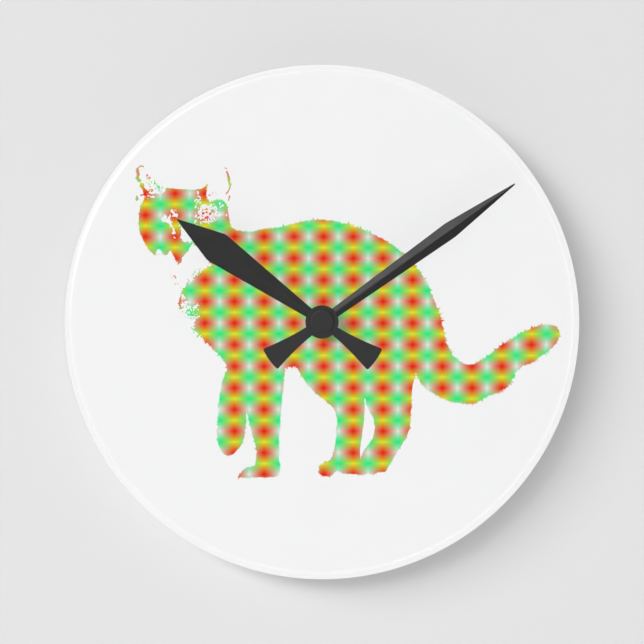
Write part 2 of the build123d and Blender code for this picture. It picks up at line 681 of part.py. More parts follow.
bow_low, bow_high = contact_low + bow_inset, contact_high - bow_inset
bow_inside = wall_in - contact_bow
bow = make_face([
    ThreePointArc((-wall_in, bow_low), (-bow_inside, battery_z), (-wall_in, bow_high)),
    Line((-wall_in, bow_high), (-wall_in, bow_high - strip_thickness)),
    ThreePointArc(
        (-wall_in, bow_high - strip_thickness), (-bow_inside - strip_thickness, battery_z),
        (-wall_in, bow_low + strip_thickness),
    ),
    Line((-wall_in, bow_low + strip_thickness), (-wall_in, bow_low)),
])
riser_x = board_right - strip_lap
negative = block(-bay_half, -wall_in, contact_front_y, strip_back_y, contact_low, contact_high)
negative += slab(bow, battery_y - bow_half_width, battery_y + bow_half_width)
negative += block(-bay_half, -wall_in, strip_y, strip_back_y, contact_low, bay_top + strip_thickness)
negative += block(-bay_half, riser_x, strip_y, strip_back_y, bay_top, bay_top + strip_thickness)
negative += block(riser_x - strip_thickness, riser_x, strip_y, strip_back_y, bay_top, strip_top)
parts["negative_contact"] = negative

# ---------------------------------------------------------------- middle plate
plate_left = -(inner_half - plate_side_gap)
plate_right = rotor_at[0] + plate_past_rotor
plate_back_y = plate_y + plate_thickness
post_places = [
    (x, z)
    for x in (plate_left + post_inset[0], plate_right - post_inset[0])
    for z in (plate_bottom + post_inset[1], plate_top - post_inset[1])
]
plate = slab(flat_box(plate_left, plate_right, plate_bottom, plate_top, plate_corner), plate_y, plate_back_y)
for limb_start, limb_end in ((left_foot, left_end), (right_foot, right_end)):
    peg_at = ((limb_start[0] + limb_end[0]) / 2, (limb_start[1] + limb_end[1]) / 2)
    plate += disc(peg_radius, plate_back_y, stator_y, peg_at)
plate -= disc(minute_radius + running_clearance, plate_y, plate_back_y)
plate -= disc(stem_radius + running_clearance, plate_y, plate_back_y, set_at)
for place in (motion_at, third_at, intermediate_at, rotor_at):
    plate -= disc(pivot_radius + running_clearance, plate_y, plate_back_y, place)
parts["middle_plate"] = plate

# ---------------------------------------------------------------- case front: the tub with the battery bay
outline = flat_box(-case_half, case_half, case_bottom, case_top, case_corner)
tub = slab(outline, case_front_y, 0)
tub -= block(-inner_half, inner_half, floor_y, cut_over, bay_top, case_top - case_wall)
tub -= block(-bay_half, bay_half, case_front_y + bay_floor, cut_over, case_bottom + case_wall, bay_ceiling)
tub -= block(-case_half - cut_over, case_half + cut_over, cover_y, cut_over, bay_top, case_top + cut_over)
tub -= disc(bushing_radius, case_front_y, floor_y)
for place in post_places:
    tub += disc(plate_post_radius, floor_y, plate_y, place)
for place in (motion_at, set_at):
    tub -= disc(pivot_radius + running_clearance, motion_pivot_y, floor_y, place)
for side in (-1, 1):
    edges = sorted((side * (bay_half - notch_width), side * bay_half))
    tub -= block(*edges, strip_y - notch_gap, cut_over, bay_ceiling - cut_over, bay_top + cut_over)
hook_low, hook_high = plate_top, plate_top + hook_width
window_front_y = cover_y - hook_reach - hook_gap
window_back_y = cover_y - hook_reach + hook_thickness + hook_gap
for side in (-1, 1):
    edges = sorted((side * (inner_half - cut_over), side * (case_half + cut_over)))
    tub -= block(*edges, window_front_y, window_back_y, hook_low - hook_gap, hook_high + hook_gap)
parts["case_front"] = tub

# ---------------------------------------------------------------- case back: the cover, its hooks and the hanger
cover_outline = outline & flat_box(-case_half, case_half, bay_top, case_top)
cover = slab(cover_outline, cover_y, 0)
hanger_top = case_top + hanger_height
hanger = flat_box(-hanger_width / 2, hanger_width / 2, case_top - case_corner, hanger_top)
hanger = fillet(hanger.vertices().sort_by(Axis.Y)[-2:], hanger_corner)
slot_low = hanger_top - hanger_bridge - hanger_notch_radius - hanger_slot_height
slot = flat_box(
    -hanger_slot_width / 2, hanger_slot_width / 2, slot_low, slot_low + hanger_slot_height, hanger_slot_corner
)
slot += Pos(0, slot_low + hanger_slot_height) * Circle(hanger_notch_radius)
cover += slab(hanger, -hanger_thickness, 0) - block(
    -hanger_width, hanger_width, -hanger_thickness - cut_over, cover_y,
    case_top - case_corner - cut_over, case_top + hanger_step_gap,
)
cover -= slab(slot, -hanger_thickness - cut_over, cut_over)
for place in (centre, third_at, intermediate_at, rotor_at):
    cover += disc(boss_radius, boss_y, cover_y, place)
    cover -= disc(pivot_radius + running_clearance, boss_y, pivot_back_y + end_play, place)
for post_x, post_z in board_posts:
    cover += disc(boss_radius, board_y, cover_y, (board_left + post_x, board_bottom + post_z))
cup_floor_y = knob_y - knob_gap
cover += disc(cup_radius, cup_floor_y - cup_wall, 0, set_at)
cover -= disc(knob_radius + knob_gap, cup_floor_y, cut_over, set_at)
cover -= disc(stem_radius + running_clearance, cup_floor_y - cup_wall - cut_over, 0, set_at)
for side in (-1, 1):
    inner = side * (inner_half - arm_gap)
    arm = sorted((inner, inner - side * hook_thickness))
    tooth = sorted((inner, inner + side * (arm_gap + hook_bite)))
    cover += block(*arm, cover_y - hook_reach, cover_y, hook_low, hook_high)
    cover += block(*tooth, cover_y - hook_reach, cover_y - hook_reach + hook_thickness, hook_low, hook_high)
parts["case_back"] = cover

# ---------------------------------------------------------------- files
os.makedirs("parts", exist_ok=True)
for name, shape in parts.items():
    export_step(shape, f"parts/{name}.step")
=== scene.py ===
import json
import math

import bmesh
import bpy
import numpy as np
from mathutils import Matrix, Vector
from mathutils.geometry import delaunay_2d_cdt


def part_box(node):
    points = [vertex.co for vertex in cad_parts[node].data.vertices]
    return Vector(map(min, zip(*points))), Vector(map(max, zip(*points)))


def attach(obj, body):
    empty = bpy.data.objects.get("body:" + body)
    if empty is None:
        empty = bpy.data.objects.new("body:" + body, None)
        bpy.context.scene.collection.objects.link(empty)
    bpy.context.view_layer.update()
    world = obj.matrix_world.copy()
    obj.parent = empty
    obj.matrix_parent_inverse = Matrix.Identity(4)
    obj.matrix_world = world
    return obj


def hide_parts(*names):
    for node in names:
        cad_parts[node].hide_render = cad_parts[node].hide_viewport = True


# A round wall clock: a clear acrylic dial with a cat printed on its back, two black hands and a battery
# quartz movement behind. Lengths are in millimetres unless a name ends in _m. The front faces -Y, X goes
# to the right and Z up.

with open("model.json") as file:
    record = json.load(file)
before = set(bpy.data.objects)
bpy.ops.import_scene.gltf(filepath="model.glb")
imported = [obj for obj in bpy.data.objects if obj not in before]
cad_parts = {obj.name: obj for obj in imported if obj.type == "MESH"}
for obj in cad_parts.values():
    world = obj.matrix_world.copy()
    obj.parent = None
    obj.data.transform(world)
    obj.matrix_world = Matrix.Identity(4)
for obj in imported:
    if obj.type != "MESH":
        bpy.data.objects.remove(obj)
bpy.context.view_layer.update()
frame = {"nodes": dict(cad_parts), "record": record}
nodes = frame["nodes"]
record = frame["record"]
body_of_node = {node: body for body, members in record["behaviour"]["bodies"].items() for node in members}
slot_of_node = {row["node"]: row["material_slot"] for row in record["subparts"]}

MM = 0.001
TURN = 2 * math.pi


def cad_span(node):
    """The lowest and highest corner of a CAD node, in millimetres."""
    low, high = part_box(node)
    return [c / MM for c in low], [c / MM for c in high]


# ---------------------------------------------------------------- shader helpers
# Noise seldom leaves this span, so it is what gets spread over a colour or a roughness.
NOISE_LOW = 0.3
NOISE_HIGH = 0.7
SMOOTHEST = 0.02
PATCH_DETAIL = 4.0
EVEN = (1.0, 1.0, 1.0)


class Value:
    """A number, colour or vector somewhere in a finish's nodes. Sums on numbers add Math nodes."""

    def __init__(self, finish, socket):
        self.finish = finish
        self.socket = socket

    def math(self, operation, other=None, swapped=False):
        inputs = {0: self} if other is None else {0: self, 1: other}
        if swapped:
            inputs = {0: other, 1: self}
        return self.finish.node("ShaderNodeMath", {"operation": operation}, inputs)

    def __add__(self, other):
        return self.math("ADD", other)

    def __radd__(self, other):
        return self.math("ADD", other, swapped=True)

    def __sub__(self, other):
        return self.math("SUBTRACT", other)

    def __rsub__(self, other):
        return self.math("SUBTRACT", other, swapped=True)

    def __mul__(self, other):
        return self.math("MULTIPLY", other)

    def __rmul__(self, other):
        return self.math("MULTIPLY", other, swapped=True)

    def __truediv__(self, other):
        return self.math("DIVIDE", other)


class Finish:
    """A material with one Principled shader, and a method that adds any other node."""

    def __init__(self, name, **constants):
        self.material = bpy.data.materials.new(name)
        self.material.use_nodes = True
        self.nodes = self.material.node_tree.nodes
        self.links = self.material.node_tree.links
        self.shader = self.nodes["Principled BSDF"]
        for socket, value in constants.items():
            self.shader.inputs[socket.replace("_", " ")].default_value = value

    def node(self, kind, settings, inputs, output=0):
        """Adds a node: its settings first, then the values or links of its sockets."""
        made = self.nodes.new(kind)
        for setting, value in settings.items():
            setattr(made, setting, value)
        for socket, value in inputs.items():
            if isinstance(value, Value):
                self.links.new(value.socket, made.inputs[socket])
            else:
                made.inputs[socket].default_value = value
        return Value(self, made.outputs[output])

    def drive(self, socket, value):
        self.links.new(value.socket, self.shader.inputs[socket])

    def place(self, stretch=EVEN):
        """The point on the piece in millimetres, stretched along each axis."""
        point = self.node("ShaderNodeTexCoord", {}, {}, "Object")
        scale = [s / MM for s in stretch]
        return self.node("ShaderNodeVectorMath", {"operation": "MULTIPLY"}, {0: point, 1: scale})

    def across_and_up(self):
        """The X and the Z of the point in millimetres, as two numbers."""
        across = self.node("ShaderNodeSeparateXYZ", {}, {0: self.place()}, "X")
        return across, Value(self, across.socket.node.outputs["Z"])

    def noise(self, size, detail=3.0, stretch=EVEN):
        """Smooth noise from 0 to 1 whose lumps are about size across."""
        inputs = {"Vector": self.place(stretch), "Scale": 1.0 / size, "Detail": detail}
        return self.node("ShaderNodeTexNoise", {}, inputs, "Fac")

    def between(self, value, low, high, start=0.0, end=1.0):
        """Spreads low to high over start to end, and holds at both ends."""
        inputs = {0: value, 1: low, 2: high, 3: start, 4: end}
        return self.node("ShaderNodeMapRange", {"clamp": True}, inputs)

    def spread(self, noise, start, end):
        """Spreads the usual span of a noise over start to end."""
        return self.between(noise, NOISE_LOW, NOISE_HIGH, start, end)

    def stripe(self, offset, half_width, softness):
        """1 where the offset from a line is under half_width and 0 past it, over a soft edge."""
        distance = offset.math("ABSOLUTE")
        return self.between(distance, half_width - softness, half_width + softness, 1.0, 0.0)

    def blend(self, first, second, factor):
        """A colour between first and second."""
        inputs = {0: factor, 6: first, 7: second}
        return self.node("ShaderNodeMix", {"data_type": "RGBA"}, inputs, 2)

    def bump(self, height, depth):
        """Raises the surface by depth where height is 1."""
        inputs = {"Height": height, "Distance": depth * MM, "Strength": 1.0}
        self.drive("Normal", self.node("ShaderNodeBump", {}, inputs))


def shade(colour, factor):
    """The colour made darker or paler, with full alpha."""
    return (*[c * factor for c in colour], 1.0)


def worked(name, colour, roughness, metallic=0.0, uneven=0.06, patch=8.0, grain=0.25, depth=0.01,
           roughness_spread=0.08, stretch=EVEN, **constants):
    """A finish with uneven colour and roughness over patches, and a fine grain of that depth."""
    finish = Finish(name, Metallic=metallic, **constants)
    patches = finish.noise(patch, PATCH_DETAIL)
    colour_low, colour_high = shade(colour, 1 - uneven), shade(colour, 1 + uneven)
    finish.drive("Base Color", finish.blend(colour_low, colour_high, finish.spread(patches, 0.0, 1.0)))
    texture = finish.noise(grain, stretch=stretch)
    mixed = patches * 0.5 + texture * 0.5
    low, high = roughness - roughness_spread, roughness + roughness_spread
    finish.drive("Roughness", finish.spread(mixed, max(low, SMOOTHEST), high))
    finish.bump(texture, depth)
    return finish


# ---------------------------------------------------------------- finishes
INK_WHITE = (0.90, 0.90, 0.905)
INK_BACKING = (0.5, 0.5, 0.5)

CHECK_COLUMN_PERIOD = 11.73
CHECK_ROW_PERIOD = 8.53
CHECK_CENTRE_X, CHECK_CENTRE_Z = 0.63, -0.45
SPOT_RED = (0.891, 0.10, 0.067, 1.0)
SPOT_WHITE = (0.891, 0.908, 0.8745, 1.0)
SPOT_YELLOW = (0.905, 0.891, 0.164, 1.0)
SPOT_GREEN = (0.134, 0.905, 0.514, 1.0)
SCREEN_GAMMA = 2.2
INK_GRAIN = 0.5
UNDER_INK = (0.9, 0.9, 0.9, 1.0)
# The low and high of a noise, and what they are spread over.
THIN_INK = (0.2, 0.35, 0.97, 1.0)
INK_ROUGHNESS = (0.45, 0.55)

PANEL_FRONT_ROUND = 3.0
PANEL_BACK_ROUND = 0.4
RIM_ROUGHNESS = 0.3
RIM_FADE_IN, RIM_FADE_OUT = 0.3, 0.5
RIPPLE_SIZE = 12.0
POLISH_RIPPLE = (0.35, 0.65, 0.0, 0.03)
TINT_SIZE = 30.0
ACRYLIC_TINTS = [(0.985, 0.99, 0.99, 1.0), (1.0, 1.0, 1.0, 1.0)]

WRAP_DARK = [(0.02, 0.06, 0.17, 1.0), (0.026, 0.075, 0.2, 1.0)]
WRAP_PALE = [(0.60, 0.58, 0.53, 1.0), (0.68, 0.66, 0.6, 1.0)]
WRAP_BAND_SHARE = 0.3
WRAP_BAND_EDGE = 0.1
WRAP_LINE_OFFSET = 2.0
WRAP_LINE_HALF_WIDTH = 0.5
WRAP_EDGE = 0.05
PLUS_HALF_LENGTH, PLUS_HALF_WIDTH = 1.7, 0.35
WRAP_PATCH = 7.0
WRAP_SCUFF = 1.5
WRAP_ROUGHNESS = (0.24, 0.34)
CREASE_SIZE, CREASE_DEPTH, CREASE_STRETCH = 4.0, 0.03, (0.3, 1.0, 1.0)

BOARD_MASK = [(0.012, 0.09, 0.035, 1.0), (0.018, 0.11, 0.045, 1.0)]
BOARD_TRACK = (0.05, 0.2, 0.07, 1.0)
TRACK_PERIOD = 1.4
TRACK_LEAN = 0.4
TRACK_BEND, TRACK_BEND_SIZE = 6.0, 9.0
TRACK_HALF_WIDTH, TRACK_EDGE = 0.22, 0.02
TRACK_HEIGHT = 0.03
FABRIC_SIZE, FABRIC_STRETCH, FABRIC_SHARE = 0.4, (1.0, 1.0, 3.0), 0.2
BOARD_ROUGHNESS = (0.32, 0.42)

panel_low, panel_high = cad_span("dial_panel")
panel_radius = panel_high[0]
panel_front_y, panel_back_y = panel_low[1], panel_high[1]


def printed_cat():
    """Soft-edged check: red, white, yellow and green spots that run into each other in straight slopes."""
    finish = Finish("printed_cat_ink", Specular_IOR_Level=0.0)
    across, up = finish.across_and_up()

    def slope(distance, centre, period):
        turn = ((distance - centre) / period).math("FRACT")
        return (turn - 0.5).math("ABSOLUTE") * 2.0

    red_column = slope(across, CHECK_CENTRE_X, CHECK_COLUMN_PERIOD)
    red_row = slope(up, CHECK_CENTRE_Z, CHECK_ROW_PERIOD)
    strong_row = finish.blend(SPOT_WHITE, SPOT_RED, red_column)
    pale_row = finish.blend(SPOT_GREEN, SPOT_YELLOW, red_column)
    screen = finish.blend(pale_row, strong_row, red_row)
    ink = finish.node("ShaderNodeGamma", {}, {"Color": screen, "Gamma": SCREEN_GAMMA})
    grain = finish.noise(INK_GRAIN, detail=2.0)
    finish.drive("Base Color", finish.blend(UNDER_INK, ink, finish.between(grain, *THIN_INK)))
    finish.drive("Roughness", finish.spread(grain, *INK_ROUGHNESS))
    return finish


def banded_wrap():
    """A plain shrink sleeve: a dark body, and a pale band with a plus sign by the raised end."""
    finish = Finish("battery_sleeve_film", Coat_Weight=0.5, Coat_Roughness=0.12)
    low, high = cad_span("battery_sleeve")
    along, up = finish.across_and_up()
    band_start = high[0] - WRAP_BAND_SHARE * (high[0] - low[0])

    def bar(half_length, half_height):
        beside = along - (band_start + high[0]) / 2
        above = up - (low[2] + high[2]) / 2
        return finish.stripe(beside, half_length, WRAP_EDGE) * finish.stripe(above, half_height, WRAP_EDGE)

    band = finish.between(along, band_start - WRAP_BAND_EDGE, band_start + WRAP_BAND_EDGE)
    line = finish.stripe(along - (band_start - WRAP_LINE_OFFSET), WRAP_LINE_HALF_WIDTH, WRAP_EDGE)
    patches = finish.noise(WRAP_PATCH)
    body = finish.blend(*WRAP_DARK, patches)
    pale = finish.blend(*WRAP_PALE, patches)
    plus = bar(PLUS_HALF_LENGTH, PLUS_HALF_WIDTH).math("MAXIMUM", bar(PLUS_HALF_WIDTH, PLUS_HALF_LENGTH))
    finish.drive("Base Color", finish.blend(body, pale, band.math("MAXIMUM", line) - plus))
    finish.drive("Roughness", finish.spread(finish.noise(WRAP_SCUFF), *WRAP_ROUGHNESS))
    finish.bump(finish.noise(CREASE_SIZE, detail=2.0, stretch=CREASE_STRETCH), CREASE_DEPTH)
    return finish


def circuit_laminate():
    """Green solder mask over slanting copper tracks."""
    finish = Finish("circuit_laminate", Coat_Weight=0.3, Coat_Roughness=0.2)
    across, up = finish.across_and_up()
    bend = finish.noise(TRACK_BEND_SIZE, detail=0.0) * TRACK_BEND
    turn = ((across * TRACK_LEAN + up + bend) / TRACK_PERIOD).math("FRACT")
    track = finish.stripe(turn - 0.5, TRACK_HALF_WIDTH, TRACK_EDGE)
    fabric = finish.noise(FABRIC_SIZE, detail=2.0, stretch=FABRIC_STRETCH)
    finish.drive("Base Color", finish.blend(finish.blend(*BOARD_MASK, fabric), BOARD_TRACK, track))
    finish.drive("Roughness", finish.spread(fabric, *BOARD_ROUGHNESS))
    finish.bump(track + fabric * FABRIC_SHARE, TRACK_HEIGHT)
    return finish


def polished_acrylic():
    """Clear acrylic, with the faintest ripple in its polish and a duller rounded rim."""
    finish = Finish("polished_acrylic", Transmission_Weight=1.0, IOR=1.49)
    across, up = finish.across_and_up()
    radius = (across * across + up * up).math("SQRT")
    rim_start = panel_radius - PANEL_FRONT_ROUND
    rim = finish.between(radius, rim_start - RIM_FADE_IN, rim_start + RIM_FADE_OUT)
    ripple = finish.between(finish.noise(RIPPLE_SIZE), *POLISH_RIPPLE)
    finish.drive("Roughness", ripple + rim * RIM_ROUGHNESS)
    finish.drive("Base Color", finish.blend(*ACRYLIC_TINTS, finish.noise(TINT_SIZE, detail=2.0)))
    return finish


finishes = {
    "clear_acrylic": polished_acrylic(),
    "white_ink": worked("dial_white_ink", INK_WHITE, 0.5, uneven=0.004, patch=20.0, grain=0.5, depth=0.0008,
                        Specular_IOR_Level=0.0),
    "cat_ink": printed_cat(),
    "hand_black": worked("hand_paint", (0.0125, 0.0125, 0.013), 0.40, uneven=0.12, patch=5.0, grain=0.35,
                         depth=0.004, roughness_spread=0.05, Specular_IOR_Level=0.8),
    "case_plastic": worked("case_moulding", (0.034, 0.034, 0.036), 0.45, uneven=0.12, grain=0.45, depth=0.02),
    "gear_plastic": worked("natural_acetal", (0.78, 0.77, 0.72), 0.38, uneven=0.04, patch=4.0, grain=0.3,
                           depth=0.004),
    "knob_plastic": worked("knob_moulding", (0.07, 0.07, 0.075), 0.42, uneven=0.1, patch=4.0, grain=0.3,
                           depth=0.012),
    "rubber": worked("cushion_rubber", (0.018, 0.018, 0.018), 0.75, uneven=0.15, grain=0.5, depth=0.04),
    "brass": worked("turned_brass", (0.76, 0.55, 0.27), 0.28, 1.0, uneven=0.05, patch=3.0, grain=0.2,
                    depth=0.004, stretch=(0.2, 2.0, 0.2)),
    "steel": worked("stamped_steel", (0.58, 0.58, 0.58), 0.32, 1.0, uneven=0.05, patch=4.0, grain=0.2,
                    depth=0.004, stretch=(1.0, 1.0, 0.15)),
    "spring_steel": worked("plated_spring", (0.66, 0.65, 0.62), 0.26, 1.0, uneven=0.05, patch=4.0, grain=0.2,
                           depth=0.004, stretch=(0.15, 1.0, 1.0)),
    "magnet": worked("sintered_magnet", (0.09, 0.09, 0.095), 0.45, 0.7, uneven=0.15, patch=1.5, grain=0.15,
                     depth=0.012),
    "copper": worked("enamelled_copper", (0.72, 0.30, 0.12), 0.25, 1.0, uneven=0.08, patch=1.0, grain=0.2,
                     depth=0.004, Coat_Weight=0.5),
    "bobbin_plastic": worked("bobbin_moulding", (0.55, 0.035, 0.025), 0.4, uneven=0.08, patch=3.0),
    "board": circuit_laminate(),
    "chip_resin": worked("potting_resin", (0.01, 0.01, 0.01), 0.22, uneven=0.1, patch=2.0, grain=0.8,
                         depth=0.05),
    "cell_steel": worked("plated_can", (0.64, 0.64, 0.62), 0.24, 1.0, uneven=0.05, patch=5.0, depth=0.004,
                         stretch=(0.2, 1.0, 1.0)),
    "cell_wrap": banded_wrap(),
}
backing = worked("print_backing_coat", INK_BACKING, 0.6, uneven=0.03, patch=12.0, grain=0.6, depth=0.006)


# ---------------------------------------------------------------- mesh helpers
def new_piece(name, mesh):
    piece = bpy.data.objects.new(name, mesh)
    bpy.context.scene.collection.objects.link(piece)
    return piece


def mesh_piece(name, points, faces, outward=True):
    """A piece from points in millimetres. Its faces are turned outwards where they close it."""
    mesh = bpy.data.meshes.new(name)
    mesh.from_pydata([[c * MM for c in p] for p in points], [], faces)
    if outward:
        shell = bmesh.new()
        shell.from_mesh(mesh)
        bmesh.ops.recalc_face_normals(shell, faces=shell.faces)
        shell.to_mesh(mesh)
        shell.free()
    return new_piece(name, mesh)


def smooth(piece, crease=30.0):
    """Smooth shading, with edges sharper than the crease angle kept sharp."""
    piece.data.shade_smooth()
    piece.data.set_sharp_from_angle(angle=math.radians(crease))
    return piece


def turned(name, profile, centre, axis="Y", segments=128):
    """Turns a profile of (radius, distance along the axis) about an axis through centre.

    A profile that starts and ends on the axis makes a solid, and any other is joined end to end as a ring.
    """
    points, rings = [], []
    for radius, along in profile:
        count = 1 if radius == 0 else segments
        rings.append(range(len(points), len(points) + count))
        for step in range(count):
            side, up = radius * math.cos(TURN * step / segments), radius * math.sin(TURN * step / segments)
            points.append({
                "Y": (centre[0] + side, along, centre[2] + up),
                "X": (along, centre[1] + side, centre[2] + up),
            }[axis])
    pairs = list(zip(rings, rings[1:]))
    if profile[0][0] > 0:
        pairs.append((rings[-1], rings[0]))
    faces = []
    for here, there in pairs:
        for step in range(segments):
            after = (step + 1) % segments
            corners = [here[step % len(here)], here[after % len(here)],
                       there[after % len(there)], there[step % len(there)]]
            corners = list(dict.fromkeys(corners))
            if len(corners) > 2:
                faces.append(corners)
    return smooth(mesh_piece(name, points, faces))


def arc(centre_radius, centre_along, radius, start, end, steps=6):
    """Points of a profile round a corner, by angle in degrees from outwards to along the axis."""
    angles = np.radians(np.linspace(start, end, steps + 1))
    return [(centre_radius + radius * math.cos(a), centre_along + radius * math.sin(a)) for a in angles]


def stands_for(piece, node):
    """The piece takes its body, its slot and its finish from the CAD node that it replaces."""
    if not piece.data.materials:
        piece.data.materials.append(finishes[slot_of_node[node]].material)
    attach(piece, body_of_node[node])
    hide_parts(node)
    return piece


JOINED_WITHIN = 0.002
FLAT_ANGLE = 1.0
EASED_CREASE = 35.0


def eased(node, width, name):
    """A copy of a CAD node with its faces joined up and its edges rounded over by width."""
    mesh = nodes[node].data.copy()
    mesh.materials.clear()
    shell = bmesh.new()
    shell.from_mesh(mesh)
    bmesh.ops.remove_doubles(shell, verts=shell.verts, dist=JOINED_WITHIN * MM)
    flat = math.radians(FLAT_ANGLE)
    bmesh.ops.dissolve_limit(shell, angle_limit=flat, verts=shell.verts, edges=shell.edges)
    shell.to_mesh(mesh)
    shell.free()
    mesh.name = name
    piece = smooth(new_piece(name, mesh), EASED_CREASE)
    rounding = piece.modifiers.new("eased_edges", "BEVEL")
    rounding.width = width * MM
    rounding.segments = 2
    rounding.limit_method = "ANGLE"
    rounding.angle_limit = math.radians(EASED_CREASE)
    flatten = piece.modifiers.new("flat_faces", "WEIGHTED_NORMAL")
    flatten.keep_sharp = True
    return stands_for(piece, node)


# ---------------------------------------------------------------- dial panel and its white print
CLEAR_HOLE_RADIUS = 4.1
WHITE_INK_DEPTH = 0.02
RIM_SEGMENTS = 360
# How squarely a face of the white print must look back to get the backing coat.
FACES_BACK = 0.9

centre_line = (0.0, 0.0, 0.0)
_, white_high = cad_span("dial_white_print")
front_corner = (panel_radius - PANEL_FRONT_ROUND, panel_front_y + PANEL_FRONT_ROUND)
back_corner = (panel_radius - PANEL_BACK_ROUND, panel_back_y - PANEL_BACK_ROUND)

panel_profile = [(CLEAR_HOLE_RADIUS, panel_back_y), (CLEAR_HOLE_RADIUS, panel_front_y)]
panel_profile += arc(*front_corner, PANEL_FRONT_ROUND, -90, 0, steps=16)
panel_profile += arc(*back_corner, PANEL_BACK_ROUND, 0, 90, steps=4)
dial = stands_for(turned("acrylic_dial", panel_profile, centre_line, segments=RIM_SEGMENTS), "dial_panel")
# The clear panel neither shades the print nor tints the light that reaches it.
dial.visible_shadow = False
dial.visible_diffuse = False

white_front_y, white_back_y = panel_back_y - WHITE_INK_DEPTH, white_high[1]
white_profile = [(CLEAR_HOLE_RADIUS, white_back_y), (CLEAR_HOLE_RADIUS, white_front_y),
                 (white_high[0], white_front_y), (white_high[0], white_back_y)]
white_print = turned("white_print", white_profile, centre_line, segments=RIM_SEGMENTS)
stands_for(white_print, "dial_white_print")
white_print.data.materials.append(backing.material)
for face in white_print.data.polygons:
    if face.normal.y > FACES_BACK:
        face.material_index = 1

# ---------------------------------------------------------------- the cat
# Smooth runs of points (x, z) round the inked cat, each starting where the last ended.
cat_runs = [
    [(-59.8, 28.3), (-58.6, 26.0), (-57.4, 24.0), (-56.2, 23.2), (-55.3, 23.6), (-55.3, 25.6), (-53.4, 27.4),
     (-51.0, 31.4)],
    [(-51.0, 31.4), (-47.4, 27.6), (-43.6, 22.4)],
    [(-43.6, 22.4), (-46.6, 20.6), (-49.6, 17.6), (-52.8, 15.0), (-55.0, 12.4), (-56.2, 9.6), (-56.3, 6.0),
     (-53.0, 1.4), (-49.4, -3.6)],
    [(-49.4, -3.6), (-45.2, -8.3), (-39.6, -14.4), (-37.6, -18.2), (-39.3, -23.6), (-40.7, -31.0),
     (-41.1, -40.0), (-41.1, -47.6), (-38.6, -52.2), (-35.4, -52.2), (-31.8, -48.4), (-30.4, -43.0),
     (-29.8, -34.6)],
    [(-29.8, -34.6), (-28.6, -40.6), (-26.2, -49.0), (-25.8, -53.0), (-26.5, -56.8)],
    [(-26.5, -56.8), (-30.4, -57.8), (-32.4, -60.2), (-31.6, -61.3), (-22.6, -61.3), (-17.6, -60.7),
     (-16.6, -57.4), (-17.1, -50.0), (-16.3, -36.0), (-15.0, -22.0), (-14.6, -18.0)],
    [(-14.6, -18.0), (-10.2, -17.5)],
    [(-10.2, -17.5), (-7.6, -22.0), (-3.4, -27.3), (1.4, -31.2), (5.0, -35.0), (5.9, -40.0), (5.2, -48.0),
     (3.7, -53.7), (0.3, -55.9), (-1.2, -58.6), (0.2, -60.9), (3.8, -60.6), (5.4, -58.3)],
    [(5.4, -58.3), (8.6, -59.8), (15.0, -60.1), (20.4, -60.0)],
    [(20.4, -60.0), (22.6, -59.1), (25.0, -59.4)],
    [(25.0, -59.4), (28.0, -54.0), (31.6, -48.4), (34.6, -42.0), (35.3, -33.0), (35.6, -26.0), (37.0, -20.6)],
    [(37.0, -20.6), (40.4, -25.6), (46.4, -29.4), (53.0, -31.8), (60.0, -32.0), (66.0, -29.2), (73.4, -25.6),
     (77.6, -18.6), (84.0, -15.2), (91.0, -10.0), (93.9, -5.0), (92.0, -1.7), (86.4, -1.1), (78.4, -4.6),
     (70.6, -9.4), (64.0, -14.3), (58.0, -16.9), (52.6, -14.0), (49.2, -8.4), (46.8, 2.0), (42.8, 12.4),
     (37.0, 22.2), (29.4, 29.2), (19.0, 35.4), (8.0, 39.2), (-4.0, 40.4), (-14.4, 38.0), (-22.0, 36.8),
     (-30.6, 35.6), (-35.4, 37.2), (-36.8, 41.0), (-37.4, 45.4), (-38.6, 47.6), (-41.0, 48.2), (-44.4, 47.2)],
    [(-44.4, 47.2), (-45.6, 49.6), (-45.4, 54.0)],
    [(-45.4, 54.0), (-48.6, 52.4), (-55.0, 52.4), (-61.6, 52.9)],
    [(-61.6, 52.9), (-62.4, 51.2), (-65.4, 50.6), (-68.4, 50.8), (-69.6, 52.2), (-71.2, 54.8)],
    [(-71.2, 54.8), (-70.8, 52.0), (-70.2, 49.0), (-71.6, 45.6), (-72.4, 40.0), (-71.4, 34.0), (-68.4, 28.8),
     (-65.8, 26.3)],
    [(-65.8, 26.3), (-64.6, 28.9), (-62.0, 26.5), (-59.8, 28.3)],
]
